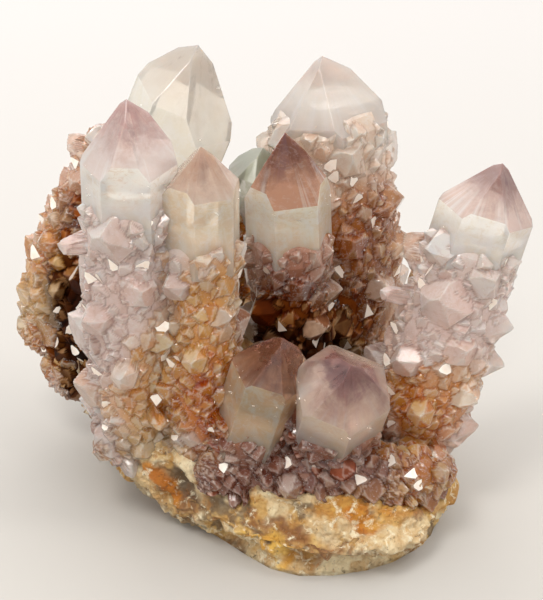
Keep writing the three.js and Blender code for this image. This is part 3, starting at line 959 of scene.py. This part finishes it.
def shaded_material():
    """Druse deep in the hollows: the same quartz with its dark stain, darkened further in patches and its
    reflections dulled and warmed, a shaded copy that paints the shade there.
    """
    material, tree, shader, place = new_material("shaded_quartz")
    colour = stored(tree, "coat_colour", "Color")
    base = blended(tree, patches(tree, place, 400, 0.35, 0.7), colour, (0.50, 0.40, 0.34), "MULTIPLY")
    frost = patches(tree, place, 600, 0.3, 0.7, (0.3, 0.6))
    surfaced(tree, shader, base, frost, grain(tree, place, 900, 3, 0.2, 0.0003))
    shader.inputs["Specular IOR Level"].default_value = 0.08
    shader.inputs["Specular Tint"].default_value = (1.0, 0.55, 0.3, 1)


def core_material():
    """The body below the coat, seen only in the gaps: dark, grainy quartz stained like its coat."""
    material, tree, shader, place = new_material("stalk_core")
    mottle = patches(tree, place, 500, 0.35, 0.7, (0.6, 1.0), 5)
    base = blended(tree, mottle, (0.30, 0.14, 0.06), stored(tree, "coat_colour", "Color"))
    frost = patches(tree, place, 700, 0.3, 0.7, (0.35, 0.75))
    surfaced(tree, shader, base, frost, grain(tree, place, 1500, 4, 0.6, 0.0005))
    set_shader(shader, IOR=1.54)
    return material


def point_material(name, apex, looks):
    """Clear quartz, coloured from root to tip, with growth lines, a little frost and a tint in depth."""
    material, tree, shader, place = new_material(name)
    along = stored(tree, "along")
    values = {key.capitalize(): looks[key] for key in ("root", "body", "shoulder", "tip", "smudge", "ice")}
    values["White"] = tuple(part**0.35 for part in looks["body"])
    tone = grouped(
        tree, "point_tone", Place=place, Apex=apex, Along=along, Crown=stored(tree, "crown"), **values)
    frost = patches(tree, place, 260, 0.52, 0.75, (0, 0.08))
    surfaced(tree, shader, tone, frost, grouped(tree, "growth_lines", Place=place, Along=along))
    set_shader(shader, IOR=1.544, Subsurface_Weight=1.0, Subsurface_Scale=0.003)
    shader.inputs["Transmission Weight"].default_value = looks["clearness"]
    shader.inputs["Subsurface Radius"].default_value = (1.0, 1.0, 1.0)
    depth = {"Color": looks["haze"], "Density": looks["density"]}
    absorption = add_node(tree, "ShaderNodeVolumeAbsorption", depth)
    tree.links.new(absorption.outputs["Volume"], tree.nodes["Material Output"].inputs["Volume"])
    return material


def flake_material():
    """Glints inside the clear points: tiny cracks that shine white."""
    material, tree, shader, place = new_material("inner_flake")
    base = blended(tree, patches(tree, place, 900, 0.0, 1.0), (1.0, 0.99, 0.97), (0.97, 0.90, 0.84))
    surfaced(tree, shader, base, patches(tree, place, 1500, 0.3, 0.7, (0.1, 0.4)))
    set_shader(shader, IOR=1.3)
    return material


def rock_material():
    """Stained matrix: patches of colour, mottled, with chalky and rusty crusts, specks, and painted shade in
    its hollows.
    """
    material, tree, shader, place = new_material("stained_matrix")
    mottle = patches(tree, place, 240, 0.4, 0.62, (0, 0.75), 7, 0.65, 0.6)
    base = blended(tree, mottle, stored(tree, "coat_colour", "Color"), (0.70, 0.48, 0.26), "MULTIPLY")
    rust = patches(tree, place, 380, 0.56, 0.66, (0, 0.7), 6, 0.68, 0.9)
    base = blended(tree, rust, base, (0.46, 0.19, 0.035))
    crust = patches(tree, place, 520, 0.55, 0.64, (0, 0.85), 6, 0.7, 0.5)
    base = blended(tree, crust, base, (0.96, 0.86, 0.62))
    specks = patches(tree, place, 800, 0.6, 0.68, (0, 0.7), 4, 0.7)
    base = blended(tree, specks, base, (0.13, 0.07, 0.03))
    # Painted shade: darker the deeper a point lies in a hollow
    dark = stepped(tree, stored(tree, "hollow"), 0.3, 1.0, (0, 0.85))
    base = blended(tree, dark, base, (0.09, 0.045, 0.02))
    cells = add_node(tree, "ShaderNodeTexVoronoi", {"Vector": place, "Scale": 1100.0}).outputs["Distance"]
    height = worked(tree, "ADD", noise(tree, place, 600, 8, 0.7), worked(tree, "MULTIPLY", cells, -0.5))
    dull = patches(tree, place, 500, 0.3, 0.7, (0.5, 0.95), 5, 0.6)
    surfaced(tree, shader, base, dull, bumped(tree, height, 0.9, 0.0012))
    set_shader(shader, IOR=1.5)
    return material


def stalk_coat(stalk, open_foot, sizes):
    """The rays over one stalk and all crystals of its coat, in the specimen's frame."""
    turn, foot, length = frame_of(stalk)
    largest, spacing = sizes.fill_radius / MM, sizes.fill_spacing / MM
    sets = [
        leading_crystals(stalk, length),
        follower_crystals(stalk, length, sizes.followers),
        fill_crystals(stalk, length, spacing, largest),
    ]
    if open_foot:
        sets.append(foot_crystals(stalk, largest))
    tips, aim, radius, spin = (np.concatenate(parts) for parts in zip(*sets))
    starts, rays, body = stalk_rays(stalk, length - stalk["clear"], sizes.grid_pitch / MM, open_foot)
    crystals = (tips @ turn.T + foot, aim @ turn.T, radius, spin)
    return starts @ turn.T + foot, rays @ turn.T, body, crystals


OPEN_FEET = ("back_left", "left_bank", "front_bank", "right_tuft")
COAT_BASE = {
    "twin_spire_front": "violet",
    "spire_centre": "rose",
    "spire_back": "rose",
    "spire_rear": "brown",
}


def every_stalk(names=STALKS):
    """The node, the name and the sizes of each of these stalks, in the order of building."""
    return [(node, name, STALKS[name]) for node in SPIRES for name in SPIRES[node] if name in names]


class SPECIMEN_OT_coats(bpy.types.Operator):
    """Grow the small crystals that coat every stalk"""

    bl_idname = "specimen.coats"
    bl_label = "Grow the coats"

    def execute(self, context):
        sizes = context.scene.specimen_sizes
        pitch = sizes.grid_pitch / MM
        druse_material()
        shaded_material()
        bright_material()
        for node, name, stalk in every_stalk():
            coat = stalk_coat(stalk, name in OPEN_FEET, sizes)
            rows = HEAD_ROWS if stalk["radius"] else 0
            coat_piece(f"coat_{name}", node, *coat, COAT_BASE.get(node, "lilac"), pitch, rows)
        return {"FINISHED"}


class SPECIMEN_OT_cores(bpy.types.Operator):
    """Build the body of every stalk: a tapered column with a rounded top, roughened by noise"""

    bl_idname = "specimen.cores"
    bl_label = "Build the stalks"

    def execute(self, context):
        material = core_material()
        share = np.linspace(0, 1, CORE_GRID[0])
        round_ = np.arange(CORE_GRID[1]) / CORE_GRID[1] * 2 * np.pi
        for node, name, stalk in every_stalk():
            turn, foot, length = frame_of(stalk)
            rounding = np.clip(1.001 - share**14, 0, 1) ** 0.5
            radius = (coat_radius(stalk["coat"], share) - CORE_DEPTH) * rounding
            grid = directions(round_) * radius[:, None, None]
            grid[..., 2] = (share * (length - stalk["clear"]))[:, None]
            grid = grid @ turn.T + foot
            grid += directions(round_) @ turn.T * (layered_noise(grid, 3.0, 11) * 0.5 - 0.3)[..., None]
            points, faces = closed_tube(grid)
            colour = stain_colours(points, np.zeros(len(points)), COAT_BASE.get(node, "lilac")) ** 1.2
            piece = mesh_object(f"core_{name}", points, faces, node, colour)
            piece.data.materials.append(material)
        return {"FINISHED"}


def look(root, body, shoulder, tip, clearness, haze, density, smudge, ice=0.0):
    """How a clear point looks: its colours from root to tip, how much of it is clear and not milky, the
    tint of its depth and how strong that is, how dark the streaks under its tip are, and how icy it is
    below the shoulder."""
    return dict(locals())


POINT_LOOKS = {
    "back_left": look(
        (0.97, 0.89, 0.78), (0.98, 0.92, 0.83), (0.97, 0.91, 0.84), (0.86, 0.78, 0.70),
        0.66, (0.92, 0.88, 0.78), 30, 0.3, 0.1),
    "front_left": look(
        (0.99, 0.88, 0.77), (1.0, 0.93, 0.86), (0.90, 0.78, 0.74), (0.62, 0.40, 0.37),
        0.6, (0.95, 0.88, 0.82), 14, 0.5, 0.9),
    "front_middle": look(
        (0.96, 0.72, 0.50), (0.99, 0.82, 0.65), (0.92, 0.77, 0.65), (0.68, 0.47, 0.36),
        0.66, (0.94, 0.82, 0.68), 30, 0.4, 0.5),
    "back": look(
        (0.97, 0.86, 0.77), (0.99, 0.93, 0.87), (0.97, 0.89, 0.84), (0.90, 0.78, 0.72),
        0.72, (0.95, 0.88, 0.82), 14, 0.1, 0.0),
    "rear": look(
        (0.50, 0.47, 0.40), (0.62, 0.62, 0.53), (0.58, 0.60, 0.50), (0.62, 0.65, 0.54),
        0.6, (0.85, 0.90, 0.80), 30, 0.0, 0.0),
    "centre": look(
        (0.99, 0.76, 0.56), (1.0, 0.88, 0.72), (0.62, 0.33, 0.20), (0.20, 0.05, 0.012),
        0.55, (0.93, 0.78, 0.66), 30, 0.8, 0.8),
    "right": look(
        (0.98, 0.88, 0.76), (1.0, 0.93, 0.84), (0.76, 0.58, 0.52), (0.36, 0.20, 0.18),
        0.6, (0.95, 0.86, 0.78), 20, 0.7, 0.5),
    "front_low_left": look(
        (0.99, 0.75, 0.50), (0.98, 0.70, 0.44), (0.64, 0.36, 0.22), (0.28, 0.10, 0.055),
        0.76, (0.88, 0.68, 0.52), 30, 0.9, 0.25),
    "front_low_right": look(
        (0.99, 0.86, 0.71), (0.98, 0.84, 0.70), (0.92, 0.73, 0.60), (0.40, 0.20, 0.20),
        0.76, (0.92, 0.74, 0.60), 30, 1.0, 0.4),
}
# How many tiny bright flakes each clear point has
FLAKES = dict(
    back_left=12, front_left=110, front_middle=60, back=20, centre=110, right=40, front_low_left=150,
    front_low_right=90)


def point_shape(name):
    """The planes of one clear point in its stalk's frame, cut flat where the two low points meet."""
    stalk = STALKS[name]
    turn, foot, length = frame_of(stalk)
    sides = np.arange(6)
    further = np.where(sides % 2, 0.07 + 0.13 * chance(sides, round(stalk["radius"] * 10)), 0)
    bottom = length - stalk["clear"] - 4
    normals, reaches = quartz_planes(
        stalk["radius"], bottom, length, np.radians(stalk["spin"]), stalk.get("off", (0, 0)),
        stalk.get("slope", TIP_NORMAL), further)
    pair = {"front_low_left": "front_low_right", "front_low_right": "front_low_left"}.get(name)
    if pair:
        pieces = (STALKS[name], STALKS[pair])
        ends = [np.array(one["tip"]) * 0.6 + np.array(one["foot"]) * 0.4 for one in pieces]
        across = unit(ends[1] - ends[0])
        middle = (ends[0] + ends[1]) / 2
        normals = np.vstack([normals, across @ turn])
        reaches = np.append(reaches, across @ (middle - foot) - 0.05)
    return crystal_from_planes(normals, reaches), turn, foot, (bottom, length)


class SPECIMEN_OT_points(bpy.types.Operator):
    """Cut the clear points with their flat faces and worn edges"""

    bl_idname = "specimen.points"
    bl_label = "Cut the points"

    def execute(self, context):
        rounding = context.scene.specimen_sizes.edge_round
        tone_group()
        growth_group()
        for node, name, stalk in every_stalk(POINT_LOOKS):
            (corners, faces, planes), turn, foot, (low, high) = point_shape(name)
            along = (corners[:, 2] - low) / (high - low)
            corners = corners @ turn.T + foot
            piece = mesh_object(f"point_{name}", corners, faces, node, flat=True, along=along)
            crown = piece.data.attributes.new("crown", "FLOAT", "FACE")
            crown.data.foreach_set("value", ((planes > 5) & (planes < SIDES)).astype(np.float32))
            edge = piece.modifiers.new("worn_edge", "BEVEL")
            edge.width = rounding
            edge.segments = 2
            apex = np.array(stalk["tip"]) * MM
            piece.data.materials.append(point_material(f"clear_{name}", apex, POINT_LOOKS[name]))
        return {"FINISHED"}


def inner_flakes(stalk, count):
    """Small four-cornered flakes under the faces of a clear point, in bands round its shoulders."""
    turn, foot, length = frame_of(stalk)
    index = np.arange(count)
    crown = stalk["radius"] * FLAT_SHARE * np.tan(np.radians(stalk.get("slope", TIP_NORMAL))) / stalk["clear"]
    patch = 0.3 * (chance(index, 91) + chance(index, 92) - 1) + 0.24 * (chance(index % 7, 93) - 0.5)
    share = np.clip(1 - crown - 0.08 + patch, 0.02, 0.9)
    narrowing = np.clip((1 - share) / crown, 0, 1)
    side = (index % 6 + 0.5) * SIXTH + np.radians(stalk["spin"]) - np.pi / 2
    lean_in = stalk["radius"] * FLAT_SHARE * narrowing - 0.1 - 0.5 * chance(index, 94) ** 2
    middle = 0.5 * (chance(index % 11, 95) - 0.5)
    aside = stalk["radius"] * narrowing * (middle + 0.3 * (chance(index, 96) + chance(index, 97) - 1))
    place = np.stack([
        lean_in * np.cos(side) - aside * np.sin(side), lean_in * np.sin(side) + aside * np.cos(side),
        length - stalk["clear"] * (1 - share),
    ], axis=1)
    size = 0.2 + 0.7 * chance(index, 98) ** 3
    across = unit(np.stack([chance(index, 99 + k) - 0.5 for k in range(3)], axis=1))
    beside = np.cross(across, (0.3, 0.5, 0.8))
    corners = np.stack([across, beside * 0.7, -across * 0.8, -beside], axis=1) * size[:, None, None]
    corners += place[:, None]
    return corners.reshape(-1, 3) @ turn.T + foot, [np.arange(count * 4).reshape(-1, 4)]


class SPECIMEN_OT_flakes(bpy.types.Operator):
    """Scatter glints under the faces of the clear points"""

    bl_idname = "specimen.flakes"
    bl_label = "Scatter the glints"

    def execute(self, context):
        material = flake_material()
        for node, name, stalk in every_stalk(FLAKES):
            points, faces = inner_flakes(stalk, FLAKES[name])
            piece = mesh_object(f"flakes_{name}", points, faces, node, flat=True)
            piece.data.materials.append(material)
        return {"FINISHED"}


def smooth_loop(points):
    """A closed outline as evenly stepped points on a smooth curve that runs through all the given ones."""
    points = np.array(points, float)
    place = np.arange(ROCK_SIDES) / ROCK_SIDES * len(points)
    at = place.astype(int)
    t = (place - at)[:, None]
    p0, p1, p2, p3 = (points[(at + step) % len(points)] for step in (-1, 0, 1, 2))
    d0, d1, d2 = (np.linalg.norm(b - a, axis=1)[:, None] ** 0.5 for a, b in ((p0, p1), (p1, p2), (p2, p3)))
    m1 = ((p1 - p0) / d0 - (p2 - p0) / (d0 + d1) + (p2 - p1) / d1) * d1
    m2 = ((p2 - p1) / d1 - (p3 - p1) / (d1 + d2) + (p3 - p2) / d2) * d1
    return (1 - eased(t)) * p1 + (t**3 - 2 * t**2 + t) * m1 + eased(t) * p2 + (t**3 - t**2) * m2


def rock_rings():
    """The rings of the rock from its flat foot over belly and rim towards its top, with its ledges."""
    foot, belly, rim = (smooth_loop(loop) for loop in (FOOT, BELLY, RIM))
    steps = [(step + 1) / ROCK_STEPS for step in range(ROCK_STEPS)]
    inwards = np.tile(np.array(ROCK_CENTRE, float), (ROCK_SIDES, 1))
    inwards[:, 2] = rim[:, 2] + 2
    rings = [foot + (belly - foot) * np.sin(share * np.pi / 2) for share in steps]
    rings += [belly + (rim - belly) * share for share in steps]
    rings += [rim + (inwards - rim) * share for share in (0.25, 0.6)]
    side = np.arange(ROCK_SIDES)
    for level, ring in enumerate(rings):
        outward = unit(ring * (1, 1, 0))
        fine, broad = ROCK_ROUGHNESS
        ledge = LEDGES[level] * chance((side + level) >> 2, 40 + level)
        rough = fine * (2 * chance(side, level) - 1) + broad * (2 * chance(side >> 2, level >> 1) - 1) + ledge
        rise = rough * 0.4 + ROCK_TILT * (2 * chance((side + 2) >> 2, 60 + level) - 1)
        ring += outward * rough[:, None] + np.array([0, 0, 1]) * rise[:, None]
    return np.array([foot, *rings])


def finer(rows, times, closed):
    """Points between the rows, by straight lines eased a little so that ledges keep their edges."""
    count = len(rows)
    place = np.arange(count * times) / times if closed else np.linspace(0, count - 1, (count - 1) * times + 1)
    at = np.minimum(place.astype(int), count - 1)
    t = place - at
    t = (0.5 * t + 0.5 * eased(t))[:, None, None]
    return rows[at] * (1 - t) + rows[(at + 1) % count if closed else np.minimum(at + 1, count - 1)] * t


def averaged(grid, rows, columns):
    """Each point of the grid moved to the middle of its neighbours, a few rows and columns either way."""
    ends = np.concatenate([np.repeat(grid[:1], rows, axis=0), grid, np.repeat(grid[-1:], rows, axis=0)])
    tall = sum(ends[step:len(ends) - 2 * rows + step] for step in range(2 * rows + 1)) / (2 * rows + 1)
    return sum(np.roll(tall, step, axis=1) for step in range(-columns, columns + 1)) / (2 * columns + 1)


def away_from_line(points, line):
    """Distance from each point to a line of straight stretches."""
    line = np.array(line, float)
    nearest = np.full(points.shape[:-1], np.inf)
    for start, end in zip(line, line[1:]):
        stretch = end - start
        share = np.clip((points - start) @ stretch / (stretch @ stretch), 0, 1)
        nearest = np.minimum(nearest, np.linalg.norm(points - start - share[..., None] * stretch, axis=-1))
    return nearest


class SPECIMEN_OT_rock(bpy.types.Operator):
    """Break the rock: rings made finer and rounded, then shaped by noise, ridges and hollows"""

    bl_idname = "specimen.rock"
    bl_label = "Break the rock"

    def execute(self, context):
        colours = context.scene.specimen_colours
        rings = finer(rock_rings(), ROCK_FINENESS[0], False)
        grid = finer(rings.transpose(1, 0, 2), ROCK_FINENESS[1], True).transpose(1, 0, 2)
        grid[1:] = averaged(grid, 16, 8)[1:]
        along = np.roll(grid, -1, axis=1) - np.roll(grid, 1, axis=1)
        normal = np.cross(along, np.gradient(grid, axis=0))
        normal /= np.linalg.norm(normal, axis=-1)[..., None] + 1e-9
        ragged = layered_noise(grid, 3.5, 61, 4)
        fine = layered_noise(grid, 1.3, 67, 3)
        inward = 1.3 - 1.5 * layered_noise(grid, 8.0, 3, 2) - 1.3 * layered_noise(grid, 3.2, 13, 5)
        inward -= 0.8 * np.abs(layered_noise(grid, 2.2, 23, 3))
        made = np.tile(np.array(colours.stone), (*grid.shape[:2], 1))
        for seed, size, name in ((81, 5, "ochre"), (85, 3.5, "liver"), (91, 4, "chalk"), (95, 2.4, "ash")):
            made = stained(made, 0.8 * stepped_share(layered_noise(grid, size, seed, 5), 0.2, 0.5), name)
        for middle, reach, name, strength in ROCK_STAINS:
            away = np.linalg.norm((grid - middle) / reach, axis=-1) + 0.35 * ragged
            made = stained(made, strength * stepped_share(away + 0.3 * fine, 1.3, 0.7), name)
        for line, half, stand, name in ROCK_STREAKS:
            away = away_from_line(grid, line) / half + 0.3 * ragged
            made = stained(made, 0.9 * stepped_share(away + 0.2 * fine, 1.25, 0.7), name)
            inward -= stand * stepped_share(away, 1.5, 0.2)
        for centre, half in PITS:
            inside = np.clip(1 - np.linalg.norm((grid - centre) / half, axis=-1), 0, 1)
            inward += 2.2 * inside**0.7
        # How deep each point lies in a pit or hole, which the material darkens as painted shade
        hollow = np.clip((inward - 1.6) / 3, 0, 1)
        for middle in ROCK_HOLES:
            inside = stepped_share(np.linalg.norm((grid - middle) * (1, 0.15, 1), axis=-1), 0.9, 0.4)
            inward += 0.7 * inside
            hollow = np.maximum(hollow, inside)
        standing = np.clip(grid[..., 2] / 1.5, 0, 1)
        points = grid - normal * (np.clip(inward, -0.6, 6) * standing)[..., None]
        points[..., 2] = np.maximum(points[..., 2], 0)
        points, faces = closed_tube(points)
        made = np.vstack([made.reshape(-1, 3), colours.stone, colours.stone])
        piece = mesh_object(
            "rock_matrix", points, faces, "matrix_rock", made, hollow=np.append(hollow.ravel(), [0, 0.5]))
        piece.data.materials.append(rock_material())
        return {"FINISHED"}


class SPECIMEN_OT_ground_coat(bpy.types.Operator):
    """Scatter druse over the top of the rock between the stalks, thinning out over its edge"""

    bl_idname = "specimen.ground_coat"
    bl_label = "Coat the rock"

    def execute(self, context):
        pitch = context.scene.specimen_sizes.grid_pitch / MM
        rings = rock_rings()
        rim = finer(rings[5:7].transpose(1, 0, 2), 13, True).transpose(1, 0, 2).mean(axis=0)
        columns = len(rim)
        front = np.clip(-rim[:, 1] / 20, 0, 1) * np.clip((rim[:, 0] + 24) / 8, 0, 1)
        inset = 0.03 + 0.17 * front[None, :] + np.linspace(0, 0.8, GROUND_ROWS)[:, None] ** 1.1
        middle = np.array([0, 0, ROCK_CENTRE[2] + 1.0])
        ground = rim[None] + (middle - rim)[None] * np.minimum(inset, 0.97)[..., None]
        ground[..., 2] += 0.6 * layered_noise(ground, 6.0, 71, 3)
        outward = unit(rim * (1, 1, 0))
        leaning = np.clip(1.1 - 5 * np.linspace(0, 1, GROUND_ROWS), 0, 1)[:, None, None]
        rays = unit(outward[None] * leaning + np.array([0, 0, 1]))
        starts = ground - rays * 3
        body = np.full(starts.shape[:2], 3.0)
        body[0] = 0
        index = np.arange(GROUND_CRYSTALS)
        at = (index * GOLDEN_SHARE % 1 * columns).astype(int)
        row = (chance(index, 51) ** 0.8 * (GROUND_ROWS - 2)).astype(int) + 1
        spin = chance(index, 55)
        size = 1.2 + 1.6 * chance(index, 56) ** 1.5
        aside = np.stack([chance(index, 53), chance(index, 54), spin], axis=1)
        aim = unit(rays[row, at] + 0.5 * (aside - 0.5))
        tips = ground[row, at] + aim * (0.2 + 0.5 * size)[:, None]
        # The rock's coat takes the shade colour as its base: painted shade between the stalks
        coat_piece(
            "coat_rock", "matrix_rock", starts, rays, body, (tips, aim, size, spin), "shade", pitch)
        return {"FINISHED"}


class SPECIMEN_OT_stage(bpy.types.Operator):
    """Set the floor, the soft lights and the camera"""

    bl_idname = "specimen.stage"
    bl_label = "Set the stage"

    def light(self, name, place, power, size, colour):
        lamp = bpy.data.lights.new(name, "AREA")
        lamp.energy, lamp.size, lamp.color = power, size, colour
        holder = bpy.data.objects.new(name, lamp)
        holder.location = place
        holder.rotation_euler = (Vector((0, 0, 0.035)) - holder.location).to_track_quat("-Z", "Y").to_euler()
        bpy.context.collection.objects.link(holder)

    def execute(self, context):
        stage = context.scene.specimen_stage
        bpy.ops.mesh.primitive_plane_add(size=6.0)
        floor = context.object
        floor.name = "floor"
        material, tree, shader, place = new_material("studio_floor")
        # Painted light: the floor's colour lightens away from the camera, for the light that brightens the
        # far floor
        away = add_node(tree, "ShaderNodeSeparateXYZ", {"Vector": place}).outputs["Y"]
        tone = blended(tree, stepped(tree, away, -0.02, 0.24), tuple(stage.floor), (0.55, 0.53, 0.517))
        tree.links.new(tone, shader.inputs["Base Color"])
        set_shader(shader, Roughness=0.8)
        floor.data.materials.append(material)

        world = bpy.data.worlds.new("studio")
        world.use_nodes = True
        tree = world.node_tree
        toward = add_node(tree, "ShaderNodeTexCoord").outputs["Generated"]
        inputs = {0: toward, 1: (0.1, 0.55, 0.83)}
        facing = add_node(tree, "ShaderNodeVectorMath", inputs, operation="DOT_PRODUCT").outputs["Value"]
        glow = stepped(tree, facing, -0.6, 0.9, (0.9 * stage.sky, 1.35 * stage.sky))
        tree.links.new(glow, tree.nodes["Background"].inputs["Strength"])
        tree.nodes["Background"].inputs["Color"].default_value = (1.0, 0.985, 0.965, 1)
        context.scene.world = world
        self.light("key", (-0.18, -0.28, 0.62), stage.key, 0.2, (1.0, 0.98, 0.95))
        self.light("side", (0.34, -0.12, 0.56), stage.key * 0.4, 0.15, (1.0, 0.98, 0.95))
        self.light("back", (-0.15, 0.50, 0.45), stage.back, 0.4, (1.0, 0.99, 0.97))

        camera = bpy.data.objects.new("camera", bpy.data.cameras.new("camera"))
        camera.data.sensor_width = 36.0
        camera.data.lens = stage.lens
        aim = Vector((0, 0, 0.0367))
        camera.location = aim + stage.distance * Vector((0, -np.cos(stage.tilt), np.sin(stage.tilt)))
        camera.rotation_euler = (aim - camera.location).to_track_quat("-Z", "Y").to_euler()
        context.collection.objects.link(camera)
        context.scene.camera = camera
        context.scene.view_settings.view_transform = "Standard"
        return {"FINISHED"}


class SPECIMEN_PT_panel(bpy.types.Panel):
    """Sizes, colours and the buttons that build each kind of piece."""

    bl_label = "Amethyst specimen"
    bl_idname = "SPECIMEN_PT_panel"
    bl_space_type = "VIEW_3D"
    bl_region_type = "UI"
    bl_category = "Specimen"

    def draw(self, context):
        for group in GROUPS:
            box = self.layout.box()
            settings = getattr(context.scene, group)
            for name in settings.__annotations__:
                box.prop(settings, name)
        for step in STEPS:
            self.layout.operator(step.bl_idname)


STEPS = (
    SPECIMEN_OT_stage,
    SPECIMEN_OT_rock,
    SPECIMEN_OT_cores,
    SPECIMEN_OT_coats,
    SPECIMEN_OT_ground_coat,
    SPECIMEN_OT_points,
    SPECIMEN_OT_flakes,
)
GROUPS = {
    "specimen_colours": SpecimenColours,
    "specimen_sizes": SpecimenSizes,
    "specimen_stage": SpecimenStage,
}


def register():
    for kind in (*GROUPS.values(), *STEPS, SPECIMEN_PT_panel):
        bpy.utils.register_class(kind)
    for name, kind in GROUPS.items():
        setattr(bpy.types.Scene, name, PointerProperty(type=kind))


def unregister():
    for name in GROUPS:
        delattr(bpy.types.Scene, name)
    for kind in reversed((*GROUPS.values(), *STEPS, SPECIMEN_PT_panel)):
        bpy.utils.unregister_class(kind)


def main():
    register()
    patch_group()
    grain_group()
    bpy.ops.specimen.stage()
    bpy.ops.specimen.rock()
    bpy.ops.specimen.cores()
    bpy.ops.specimen.coats()
    bpy.ops.specimen.ground_coat()
    bpy.ops.specimen.points()
    bpy.ops.specimen.flakes()


if __name__ == "__main__":
    main()
